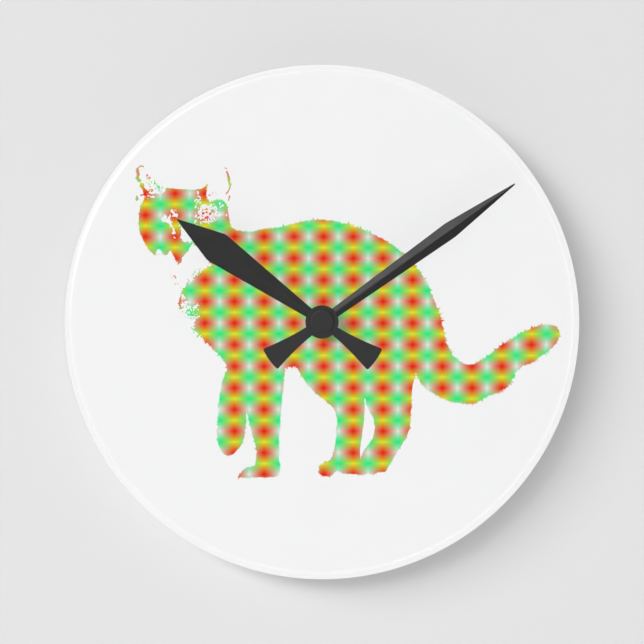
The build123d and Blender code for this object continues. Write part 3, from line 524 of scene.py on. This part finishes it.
# Bare places inside the head and chest: the corners of each and the share of it that flecks of ink cover.
bare_patches = [
    ([(-50.4, 39.2), (-50.8, 43.0), (-49.8, 46.2), (-46.4, 47.2), (-42.2, 47.0), (-41.0, 44.0), (-41.2, 39.6),
      (-45.2, 38.6)], 0.36),
    ([(-50.0, 47.0), (-50.2, 52.0), (-48.6, 52.2), (-47.6, 49.0), (-47.8, 47.0)], 0.55),
    ([(-57.0, 40.6), (-55.8, 37.0), (-56.2, 33.4), (-55.0, 31.2), (-52.4, 31.6), (-49.4, 33.0),
      (-49.0, 38.0)], 0.04),
    ([(-62.4, 42.4), (-60.8, 41.4), (-59.0, 38.8), (-58.2, 36.0), (-58.2, 33.4), (-59.0, 34.4), (-59.4, 37.0),
      (-61.4, 39.6)], 0.08),
    ([(-59.4, 44.6), (-57.6, 44.4), (-57.2, 41.4), (-58.6, 40.6), (-60.0, 41.6)], 0.5),
    ([(-41.6, 43.4), (-38.2, 43.2), (-38.4, 41.8), (-41.8, 41.2)], 0.3),
    ([(-64.0, 40.6), (-61.8, 41.8), (-61.0, 39.4), (-63.0, 38.9)], 0.35),
    ([(-70.0, 50.9), (-63.0, 51.2), (-63.6, 48.9), (-69.4, 48.7)], 0.7),
    ([(-55.4, 11.6), (-52.6, 7.0), (-53.4, 4.0), (-50.0, -0.6), (-52.0, -3.0), (-55.6, 1.0),
      (-55.6, 7.0)], 0.32),
    ([(-53.8, 8.0), (-48.6, 7.4), (-48.0, 2.6), (-50.4, -2.4), (-54.0, 1.0)], 0.62),
    ([(-43.5, 47.5), (-38.5, 47.0), (-37.5, 42.0), (-42.5, 41.5)], 0.72),
]
# The clear gap between the two hind legs.
leg_gap = [(16.8, -29.6), (17.6, -33.0), (19.0, -35.8), (20.3, -37.6), (20.9, -41.9), (20.3, -45.1),
           (18.8, -47.9), (16.3, -50.9), (15.2, -54.0), (15.0, -50.4), (15.6, -46.4), (16.3, -40.9),
           (16.9, -35.1)]
# Loose flecks outside: the corners of each place and the share of it that they cover.
fleck_places = [
    ([(-69.6, 58.6), (-66.4, 57.0), (-62.4, 51.4), (-68.6, 51.0)], 0.3),
    ([(-66.0, 55.8), (-63.6, 55.0), (-61.8, 52.0), (-65.2, 52.2)], 0.6),
    ([(-45.2, 55.6), (-42.6, 57.0), (-41.4, 49.0), (-44.6, 48.6)], 0.14),
    ([(-59.6, 18.8), (-57.2, 18.8), (-56.2, 13.8), (-58.6, 14.6)], 0.22),
    ([(-66.6, 27.0), (-60.6, 27.4), (-60.8, 25.8), (-65.6, 25.4)], 0.42),
    ([(-73.8, 50.6), (-72.8, 50.6), (-72.8, 47.8), (-73.6, 47.8)], 0.6),
    ([(-53.6, 16.6), (-51.0, 17.4), (-52.0, 13.4), (-54.4, 13.2)], 0.4),
    ([(-52.0, -1.6), (-48.6, -3.0), (-46.6, -6.6), (-50.6, -5.2)], 0.4),
    ([(-51.4, 20.2), (-47.6, 20.8), (-48.6, 17.0), (-51.6, 16.6)], 0.3),
]
# The thin edges of the ears: points along each stroke and half its width.
ear_strokes = [
    ([(-70.6, 61.3), (-71.6, 61.7), (-72.6, 60.8), (-72.9, 59.4)], 0.22),
    ([(-72.9, 60.6), (-72.6, 58.4), (-73.0, 57.0), (-71.9, 55.4)], 0.55),
    ([(-71.4, 54.6), (-70.6, 52.8), (-69.6, 51.4)], 0.7),
    ([(-71.6, 50.0), (-69.6, 50.3), (-67.4, 50.2)], 0.3),
    ([(-38.6, 60.9), (-37.6, 60.6)], 0.2),
    ([(-37.6, 59.2), (-36.9, 57.4), (-36.8, 55.8), (-36.3, 54.4)], 0.47),
    ([(-36.2, 53.6), (-36.8, 52.0), (-37.8, 50.6)], 0.25),
    ([(-36.5, 49.6), (-36.9, 48.0)], 0.3),
]
INK_GRID = 0.22
INK_MARGIN = 3.0
EAR_ROOM = 8.0
INK_FRONT_DEPTH = 0.04
INK_BACK_DEPTH = 0.005
RUN_STEPS = 6
JOINED_POINTS = 1e-5
CHUNK_PAIRS = 4_000_000

# Tufts of hair round the outline: every other point stands out and the ones between dip in.
TUFT_SPACING = 0.5
TUFT_REACH = 1.25
TUFT_ROOT = 0.5
TUFT_POWER = 1.5
TUFT_STRAY = 0.6
TUFT_SEED = 11
# How far the fur reaches from the outline, and how its length changes from place to place.
FUR_BAND = 2.6
FUR_LEAST = 0.55
FUR_SPREAD = 0.9
FUR_LUMP = 9.0
FUR_SEED = 5
# Places of short fur, by their lowest and highest x and z and the share of its length that is left.
CALM_PLACES = [(-75.0, -34.0, 24.0, 56.0, 0.45), (-45.0, 36.0, -62.0, -24.0, 0.6)]

# Flecks are where one noise over the whole sheet ranks highest.
FINE_FLECK = 0.44
COARSE_FLECK = 1.0
FINE_SHARE, COARSE_SHARE = 0.65, 0.35
FLECK_STEEPNESS = 2.5
FINE_SEED, COARSE_SEED = 21, 22
EDGE_LUMP = 0.9
PATCH_ROUGHNESS = 0.7
GAP_ROUGHNESS = 0.15
GAP_SEED = 39
BARE_SEED = 40
FLECK_SEED = 60
STROKE_LEAST = 0.5
STROKE_LUMP = 0.8
STROKE_SEED = 80

NOISE_TABLE = 512
NOISE_OFFSET = 200.0
# An edge crosses a side of a square at least this share from either corner.
CORNER_SHARE = 0.02


def smooth_run(points):
    """Points along a smooth line through the given ones."""
    line = np.array(points, dtype=float)
    padded = np.vstack([2 * line[0] - line[1], line, 2 * line[-1] - line[-2]])
    t = (np.arange(RUN_STEPS) / RUN_STEPS)[:, None]
    made = []
    for a, b, c, d in zip(padded, padded[1:], padded[2:], padded[3:]):
        bend, twist = 2 * a - 5 * b + 4 * c - d, 3 * b - a - 3 * c + d
        made.append(0.5 * (2 * b + (c - a) * t + bend * t**2 + twist * t**3))
    return np.vstack(made)


def to_line(points, starts, ends):
    """How far each point is from the nearest of the straight segments, and how far along them that is."""
    edge = ends - starts
    lengths = np.hypot(*edge.T)
    before = np.concatenate([[0.0], np.cumsum(lengths)[:-1]])
    nearest, along = [], []
    for chunk in np.array_split(points, max(1, len(points) * len(starts) // CHUNK_PAIRS)):
        share = ((chunk[:, None, :] - starts) * edge).sum(2) / np.maximum(lengths**2, 1e-12)
        share = np.clip(share, 0.0, 1.0)
        gap = np.hypot(*np.moveaxis(chunk[:, None, :] - starts - share[..., None] * edge, 2, 0))
        pick = gap.argmin(1)
        rows = np.arange(len(chunk))
        nearest.append(gap[rows, pick])
        along.append(before[pick] + share[rows, pick] * lengths[pick])
    return np.concatenate(nearest), np.concatenate(along)


def inside(points, starts, ends):
    """Whether each point is inside the closed line, by the number of crossings to its right."""
    found = np.zeros(len(points), dtype=bool)
    for (x0, z0), (x1, z1) in zip(starts, ends):
        if z0 == z1:
            continue
        spans = (points[:, 1] >= min(z0, z1)) & (points[:, 1] < max(z0, z1))
        crossing = x0 + (points[spans, 1] - z0) * (x1 - x0) / (z1 - z0)
        found[spans] ^= points[spans, 0] < crossing
    return found


def lattice_noise(points, size, seed):
    """Smooth noise from 0 to 1 over the plane, whose lumps are about size across."""
    table = np.random.RandomState(seed).rand(NOISE_TABLE, NOISE_TABLE)
    cell = points / size + NOISE_OFFSET
    corner = np.floor(cell).astype(int)
    part = cell - corner
    part = part * part * (3 - 2 * part)
    i, j = corner.T % (NOISE_TABLE - 1)
    low = table[i, j] * (1 - part[:, 0]) + table[i + 1, j] * part[:, 0]
    high = table[i, j + 1] * (1 - part[:, 0]) + table[i + 1, j + 1] * part[:, 0]
    return low * (1 - part[:, 1]) + high * part[:, 1]


def tufts(along, length):
    """Hair tips round a line of that length: many short ones and fewer long ones."""
    random = np.random.RandomState(TUFT_SEED)
    count = int(length / TUFT_SPACING) // 2 * 2
    height = TUFT_REACH * random.rand(count) ** TUFT_POWER
    height[1::2] = -TUFT_ROOT * random.rand(count // 2)
    places = (np.arange(count) + TUFT_STRAY * (random.rand(count) - 0.5)) * length / count
    return np.interp(along, places, height, period=length)


def patch_field(points, corners, roughness, seed):
    """Distance inside a rough-edged patch: positive inside and negative outside."""
    starts = np.array(corners, dtype=float)
    ends = np.roll(starts, -1, axis=0)
    gap, _ = to_line(points, starts, ends)
    gap[~inside(points, starts, ends)] *= -1
    return gap + roughness * (lattice_noise(points, EDGE_LUMP, seed) - 0.5) * 2


def near_outline(points, outline):
    """Which points lie in a coarse square that the outline passes through, or in one next to it."""
    cells = np.floor(points / FUR_BAND).astype(int)
    base = cells.min(0) - 1
    marked = np.zeros(cells.max(0) - base + 3, dtype=bool)
    for i, j in np.floor(outline / FUR_BAND).astype(int) - base:
        marked[i - 1:i + 2, j - 1:j + 2] = True
    i, j = (cells - base).T
    return marked[i, j]


def furry_field(points, outline):
    """The cat's own shape: positive inside its furry edge and negative outside."""
    starts, ends = outline, np.roll(outline, -1, axis=0)
    length = np.hypot(*(ends - starts).T).sum()
    within = inside(points, starts, ends)
    field = np.where(within, FUR_BAND, -FUR_BAND)
    near = np.flatnonzero(near_outline(points, outline))
    gap, along = to_line(points[near], starts, ends)
    reach = FUR_LEAST + FUR_SPREAD * lattice_noise(points, FUR_LUMP, FUR_SEED)
    x, z = points.T
    for x_low, x_high, z_low, z_high, calm in CALM_PLACES:
        held = (x > x_low) & (x < x_high) & (z > z_low) & (z < z_high)
        reach = np.where(held, reach * calm, reach)
    furry = np.where(within[near], gap, -gap) + tufts(along, length) * reach[near]
    field[near] = np.clip(furry, -FUR_BAND, FUR_BAND)
    return field


def ink_field(points, outline):
    """Positive where there is ink and negative where there is none, in millimetres near an edge."""
    field = furry_field(points, outline)
    fine = lattice_noise(points, FINE_FLECK, FINE_SEED)
    coarse = lattice_noise(points, COARSE_FLECK, COARSE_SEED)
    flecks = fine * FINE_SHARE + coarse * COARSE_SHARE
    rank = flecks.argsort().argsort() / len(flecks)
    for index, (corners, cover) in enumerate(bare_patches):
        patch = patch_field(points, corners, PATCH_ROUGHNESS, BARE_SEED + index)
        left = np.maximum(-patch, (rank - 1 + cover) * FLECK_STEEPNESS)
        field = np.where(patch > 0, np.minimum(field, left), field)
    field = np.minimum(field, -patch_field(points, leg_gap, GAP_ROUGHNESS, GAP_SEED))
    for index, (corners, cover) in enumerate(fleck_places):
        patch = patch_field(points, corners, PATCH_ROUGHNESS, FLECK_SEED + index)
        added = np.minimum(patch, (rank - 1 + cover) * FLECK_STEEPNESS)
        field = np.where(patch > 0, np.maximum(field, added), field)
    for points_along, half_width in ear_strokes:
        line = np.array(points_along, dtype=float)
        gap, _ = to_line(points, line[:-1], line[1:])
        thickness = half_width * (STROKE_LEAST + lattice_noise(points, STROKE_LUMP, STROKE_SEED))
        field = np.maximum(field, thickness - gap)
    hub_gap = np.hypot(*points.T) - CLEAR_HOLE_RADIUS
    return np.minimum(field, hub_gap)


def ink_edges(field, xs, zs):
    """The line where the field is zero, as points and pairs of points, found square by square."""
    found, points, pairs = {}, [], []

    def crossing(a, b):
        key = (a, b)
        if key not in found:
            fa, fb = field[a], field[b]
            share = min(max(fa / (fa - fb), CORNER_SHARE), 1 - CORNER_SHARE)
            found[key] = len(points)
            x = xs[a[0]] + (xs[b[0]] - xs[a[0]]) * share
            z = zs[a[1]] + (zs[b[1]] - zs[a[1]]) * share
            points.append((x, z))
        return found[key]

    full = field > 0
    count = full[:-1, :-1].astype(int) + full[1:, :-1] + full[:-1, 1:] + full[1:, 1:]
    for i, j in zip(*np.nonzero((count > 0) & (count < 4))):
        low_left, low_right, high_right, high_left = (i, j), (i + 1, j), (i + 1, j + 1), (i, j + 1)
        bottom, right, top, left = [(low_left, low_right), (low_right, high_right), (high_left, high_right),
                                    (low_left, high_left)]
        cut = [side for side in (bottom, right, top, left) if full[side[0]] != full[side[1]]]
        if len(cut) == 4 and full[low_left] != (field[i:i + 2, j:j + 2].mean() > 0):
            cut = [left, bottom, right, top]
        for first, second in zip(cut[::2], cut[1::2]):
            pairs.append((crossing(*first), crossing(*second)))
    return points, pairs


def print_sheet(name, outline_points, triangles, front_y, back_y):
    """A thin closed sheet from flat triangles: its front, its back and a wall round every edge."""
    count = len(outline_points)
    points = [(x, front_y, z) for x, z in outline_points] + [(x, back_y, z) for x, z in outline_points]
    faces = [tuple(t) for t in triangles] + [tuple(c + count for c in reversed(t)) for t in triangles]
    sides = {(t[k], t[(k + 1) % 3]) for t in triangles for k in range(3)}
    faces += [(b, a, a + count, b + count) for a, b in sides if (b, a) not in sides]
    return mesh_piece(name, points, faces, outward=False)


def make_cat():
    outline = np.vstack([smooth_run(run) for run in cat_runs])
    low, high = outline.min(0) - INK_MARGIN, outline.max(0) + INK_MARGIN
    xs, zs = np.arange(low[0], high[0], INK_GRID), np.arange(low[1], high[1] + EAR_ROOM, INK_GRID)
    grid = np.stack(np.meshgrid(xs, zs, indexing="ij"), axis=-1).reshape(-1, 2)
    field = ink_field(grid, outline).reshape(len(xs), len(zs))
    points, pairs = ink_edges(field, xs, zs)
    made = delaunay_2d_cdt([Vector(p) for p in points], pairs, [], 1, JOINED_POINTS)
    flat = np.array([tuple(v) for v in made[0]])
    triangles = np.array([tuple(f) for f in made[2]])
    middles = flat[triangles].mean(1)
    edge_points = np.array(points)
    ends = np.array(pairs)
    inked = triangles[inside(middles, edge_points[ends[:, 0]], edge_points[ends[:, 1]])]
    corner = flat[inked]
    first, second = corner[:, 1] - corner[:, 0], corner[:, 2] - corner[:, 0]
    clockwise = first[:, 0] * second[:, 1] - first[:, 1] * second[:, 0] < 0
    inked[clockwise] = inked[clockwise][:, ::-1]
    front_y, back_y = panel_back_y - INK_FRONT_DEPTH, panel_back_y + INK_BACK_DEPTH
    return stands_for(print_sheet("cat_in_ink", flat.tolist(), inked.tolist(), front_y, back_y), "cat_print")


make_cat()

# ---------------------------------------------------------------- hands and cap nut
HAND_EDGE = 0.06
CAP_ROUND = 0.5
CAP_FACE_INSET = 0.9
CAP_CHAMFER = 0.1
CAP_BORE_RADIUS = 2.0
CAP_BORE_DEPTH = 1.3

hands = [eased("minute_hand", HAND_EDGE, "minute_blade"), eased("hour_hand", HAND_EDGE, "hour_blade")]
nut_low, nut_high = cad_span("hand_nut")
nut_radius, nut_front_y, nut_back_y = nut_high[0], nut_low[1], nut_high[1]
nut_profile = [(0.0, nut_front_y), (nut_radius - CAP_FACE_INSET, nut_front_y)]
nut_profile += arc(nut_radius - CAP_ROUND, nut_front_y + CAP_ROUND, CAP_ROUND, -90, 0)
nut_profile += [(nut_radius, nut_back_y - CAP_CHAMFER), (nut_radius - CAP_CHAMFER, nut_back_y),
                (CAP_BORE_RADIUS, nut_back_y), (CAP_BORE_RADIUS, nut_back_y - CAP_BORE_DEPTH),
                (0.0, nut_back_y - CAP_BORE_DEPTH)]
hands.append(stands_for(turned("cap_nut", nut_profile, centre_line), "hand_nut"))
# The hands and what stands behind the nut throw no shadow through the clear panel.
for piece in hands + [nodes[node] for node in ("threaded_bushing", "hour_wheel", "minute_arbor")]:
    piece.visible_shadow = False

# ---------------------------------------------------------------- the bushing's thread and the coil's turns
RING_STEPS = 64
SECTION_STEPS = 6
RING_CREASE = 60.0
THREAD_PITCH = 0.75
THREAD_TURNS = 11
THREAD_RADIUS = 3.84
THREAD_RIDGE = 0.22
WIRE_RADIUS = 0.1

ring_tree = bpy.data.node_groups.new("rings_in_a_row", "GeometryNodeTree")
ring_inputs = {}
for label, kind in [("First place", "Vector"), ("Step", "Vector"), ("Tilt", "Vector"), ("Count", "Int"),
                    ("Ring radius", "Float"), ("Wire radius", "Float"), ("Finish", "Material")]:
    socket = ring_tree.interface.new_socket(label, in_out="INPUT", socket_type="NodeSocket" + kind)
    ring_inputs[label] = socket.identifier
ring_tree.interface.new_socket("Rings", in_out="OUTPUT", socket_type="NodeSocketGeometry")


def ring_node(kind, inputs, **settings):
    """Adds a node to the tree: its settings first, then the values or links of its sockets."""
    made = ring_tree.nodes.new(kind)
    for setting, value in settings.items():
        setattr(made, setting, value)
    for socket, value in inputs.items():
        if isinstance(value, bpy.types.NodeSocket):
            ring_tree.links.new(value, made.inputs[socket])
        else:
            made.inputs[socket].default_value = value
    return made


def circle(steps, radius):
    inputs = {"Resolution": steps, "Radius": radius}
    return ring_node("GeometryNodeCurvePrimitiveCircle", inputs, mode="RADIUS").outputs[0]


given = ring_tree.nodes.new("NodeGroupInput").outputs
places = ring_node("GeometryNodeMeshLine", {"Count": given["Count"], "Start Location": given["First place"],
                                            "Offset": given["Step"]}, mode="OFFSET")
loop, section = circle(RING_STEPS, given["Ring radius"]), circle(SECTION_STEPS, given["Wire radius"])
ring = ring_node("GeometryNodeCurveToMesh", {"Curve": loop, "Profile Curve": section})
row = ring_node("GeometryNodeInstanceOnPoints", {"Points": places.outputs[0], "Instance": ring.outputs[0],
                                                 "Rotation": given["Tilt"]})
real = ring_node("GeometryNodeRealizeInstances", {"Geometry": row.outputs[0]})
finished = ring_node("GeometryNodeSetMaterial", {"Geometry": real.outputs[0], "Material": given["Finish"]})
ring_node("NodeGroupOutput", {"Rings": finished.outputs[0]})


def ring_row(name, node, first, step, tilt, count, ring_radius, wire_radius):
    """Rings laid in a row over a CAD node, in its finish and on its body."""
    piece = new_piece(name, bpy.data.meshes.new(name))
    rings = piece.modifiers.new("rings", "NODES")
    rings.node_group = ring_tree
    values = {"First place": [c * MM for c in first], "Step": [c * MM for c in step], "Tilt": tilt,
              "Count": count, "Ring radius": ring_radius * MM, "Wire radius": wire_radius * MM,
              "Finish": finishes[slot_of_node[node]].material}
    for label, value in values.items():
        rings[ring_inputs[label]] = value
    evaluated = piece.evaluated_get(bpy.context.evaluated_depsgraph_get())
    mesh = bpy.data.meshes.new_from_object(evaluated)
    piece.modifiers.clear()
    piece.data = mesh
    smooth(piece, RING_CREASE)
    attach(piece, body_of_node[node])


bushing_low, _ = cad_span("threaded_bushing")
thread_start = (0.0, bushing_low[1] + THREAD_PITCH / 2, 0.0)
ring_row("thread_ridges", "threaded_bushing", thread_start, (0.0, THREAD_PITCH, 0.0), (math.pi / 2, 0.0, 0.0),
         THREAD_TURNS, THREAD_RADIUS, THREAD_RIDGE)
wound_low, wound_high = cad_span("coil_winding")
wound_middle = [(a + b) / 2 for a, b in zip(wound_low, wound_high)]
wire_start = (wound_low[0] + WIRE_RADIUS, wound_middle[1], wound_middle[2])
wire_turns = int((wound_high[0] - wound_low[0]) / (2 * WIRE_RADIUS))
ring_row("wire_turns", "coil_winding", wire_start, (2 * WIRE_RADIUS, 0.0, 0.0), (0.0, math.pi / 2, 0.0),
         wire_turns, (wound_high[2] - wound_low[2]) / 2, WIRE_RADIUS)

# ---------------------------------------------------------------- battery
SHOULDER_ROUND = 0.8
FILM_THICKNESS = 0.14
FILM_WRAP_ANGLE = 65
NUB_ROUND = 0.45
NUB_FOOT = 0.1
# Radius and distance in from the can's end, at the flat end and at the raised one.
FLAT_END = [(0.0, 0.25), (4.6, 0.25), (4.9, 0.0)]
RAISED_END = [(5.6, 0.0), (5.3, 0.5), (0.0, 0.5)]
CAP_FLANGE = [(0.0, 0.55), (4.4, 0.55), (4.4, 0.25), (3.3, 0.2)]

can_low, can_high = cad_span("battery_can")
cap_low, cap_high = cad_span("battery_cap")
can_middle = [(a + b) / 2 for a, b in zip(can_low, can_high)]
can_radius = (can_high[2] - can_low[2]) / 2
flat_end, raised_end = can_low[0], can_high[0]
shoulder = can_radius - SHOULDER_ROUND
flat_corner = (shoulder, flat_end + SHOULDER_ROUND)
raised_corner = (shoulder, raised_end - SHOULDER_ROUND)

can_profile = [(radius, flat_end + inwards) for radius, inwards in FLAT_END]
can_profile += arc(*flat_corner, SHOULDER_ROUND, -90, 0) + arc(*raised_corner, SHOULDER_ROUND, 0, 90)
can_profile += [(radius, raised_end - inwards) for radius, inwards in RAISED_END]
stands_for(turned("drawn_can", can_profile, can_middle, "X"), "battery_can")

nub_radius, nub_end = (cap_high[2] - cap_low[2]) / 2, cap_high[0]
cap_profile = [(radius, raised_end - inwards) for radius, inwards in CAP_FLANGE]
cap_profile += [(nub_radius, raised_end + NUB_FOOT)]
cap_profile += arc(nub_radius - NUB_ROUND, nub_end - NUB_ROUND, NUB_ROUND, 0, 90) + [(0.0, nub_end)]
stands_for(turned("pressed_cap", cap_profile, can_middle, "X"), "battery_cap")

film_round = SHOULDER_ROUND + FILM_THICKNESS
sleeve_profile = arc(*flat_corner, film_round, -FILM_WRAP_ANGLE, 0)
sleeve_profile += arc(*raised_corner, film_round, 0, FILM_WRAP_ANGLE)
sleeve_profile += arc(*raised_corner, SHOULDER_ROUND, FILM_WRAP_ANGLE, 0)
sleeve_profile += arc(*flat_corner, SHOULDER_ROUND, 0, -FILM_WRAP_ANGLE)
stands_for(turned("shrunk_sleeve", sleeve_profile, can_middle, "X"), "battery_sleeve")

# ---------------------------------------------------------------- case and other moulded or stamped pieces
# The CAD node, the width of its eased edges and the name of the piece.
eased_pieces = [
    ("case_front", 0.2, "case_tub"),
    ("case_back", 0.2, "case_cover"),
    ("set_knob", 0.15, "fluted_knob"),
    ("dial_nut", 0.25, "hexagon_nut"),
    ("positive_contact", 0.05, "positive_spring"),
    ("negative_contact", 0.05, "negative_spring"),
    ("rubber_cushion", 0.15, "cushion_sheet"),
]
for node, width, name in eased_pieces:
    eased(node, width, name)

for node, obj in nodes.items():
    if not obj.hide_render:
        obj.data.materials.clear()
        obj.data.materials.append(finishes[slot_of_node[node]].material)

# ---------------------------------------------------------------- wall, floor, lights and camera
WALL_GAP_M = 0.0005
ROOM_M = 6.0
FLOOR_DROP_M = 1.3
WALL_COLOUR = (0.765, 0.765, 0.765)
FLOOR_COLOUR = (0.70, 0.70, 0.69)
WORLD_STRENGTH = 0.12
CAMERA_DISTANCE_M = 1.6
CAMERA_NEAR_M, CAMERA_FAR_M = 0.01, 20.0
HALF_VIEW_M = 0.1273
SENSOR_M = 0.036


def stage_sheet(name, corners_m, colour, one_sided=False):
    """A large flat sheet of the room. A one-sided sheet can be seen through from behind."""
    mesh = bpy.data.meshes.new(name)
    mesh.from_pydata(corners_m, [], [(0, 1, 2, 3)])
    sheet = new_piece(name, mesh)
    finish = worked(name + "_paint", colour, 0.85, uneven=0.004, patch=400.0, grain=1.5, depth=0.004)
    if one_sided:
        behind = finish.node("ShaderNodeNewGeometry", {}, {}, "Backfacing")
        clear = finish.node("ShaderNodeBsdfTransparent", {}, {})
        front = Value(finish, finish.shader.outputs[0])
        mixed = finish.node("ShaderNodeMixShader", {}, {0: behind, 1: front, 2: clear})
        finish.links.new(mixed.socket, finish.nodes["Material Output"].inputs["Surface"])
        sheet.visible_shadow = False
    mesh.materials.append(finish.material)


half, floor_z = ROOM_M / 2, -FLOOR_DROP_M
wall_corners = [(-half, WALL_GAP_M, floor_z), (half, WALL_GAP_M, floor_z), (half, WALL_GAP_M, half),
                (-half, WALL_GAP_M, half)]
stage_sheet("wall", wall_corners, WALL_COLOUR, one_sided=True)
floor_corners = [(-half, -half, floor_z), (half, -half, floor_z), (half, half, floor_z),
                 (-half, half, floor_z)]
stage_sheet("floor", floor_corners, FLOOR_COLOUR)


def soft_light(name, place_m, length_m, width_m, watts, mirrored=True):
    """A light that faces the middle of the dial, with its length towards the line straight out of the dial.

    A light that isn't mirrored lights the clock but never shows in its gloss.
    """
    lamp = bpy.data.lights.new(name, "AREA")
    lamp.shape = "RECTANGLE"
    lamp.size, lamp.size_y = length_m, width_m
    lamp.energy = watts
    light = bpy.data.objects.new(name, lamp)
    back = Vector(place_m).normalized()
    along = (Vector((0.0, -1.0, 0.0)) + back * back.y).normalized()
    turn = Matrix((along, back.cross(along), back)).transposed().to_4x4()
    light.matrix_world = Matrix.Translation(place_m) @ turn
    light.visible_glossy = mirrored
    bpy.context.scene.collection.objects.link(light)


soft_light("window", (-5.64, -6.3, 3.13), length_m=6.0, width_m=2.8, watts=430.0, mirrored=False)
soft_light("side_front", (-1.85, -6.7, 1.97), length_m=2.2, width_m=2.2, watts=88.0)
soft_light("front_fill", (0.3, -6.7, -0.2), length_m=2.0, width_m=2.0, watts=132.0, mirrored=False)
soft_light("behind", (-0.6, 2.3, 1.2), length_m=1.6, width_m=1.6, watts=24.0)

world = bpy.data.worlds.new("pale_room")
world.use_nodes = True
background = world.node_tree.nodes["Background"]
background.inputs["Color"].default_value = (1.0, 1.0, 1.0, 1.0)
background.inputs["Strength"].default_value = WORLD_STRENGTH
bpy.context.scene.world = world
bpy.context.scene.view_settings.view_transform = "Standard"

camera_data = bpy.data.cameras.new("front_camera")
camera_data.sensor_width = SENSOR_M / MM
rim_y_m = (panel_back_y - PANEL_BACK_ROUND) * MM
camera_data.lens = SENSOR_M / 2 * (CAMERA_DISTANCE_M + rim_y_m) / HALF_VIEW_M / MM
camera_data.clip_start, camera_data.clip_end = CAMERA_NEAR_M, CAMERA_FAR_M
camera = bpy.data.objects.new("front_camera", camera_data)
level = Matrix.Rotation(math.pi / 2, 4, "X")
camera.matrix_world = Matrix.Translation((0.0, -CAMERA_DISTANCE_M, 0.0)) @ level
bpy.context.scene.collection.objects.link(camera)
bpy.context.scene.camera = camera
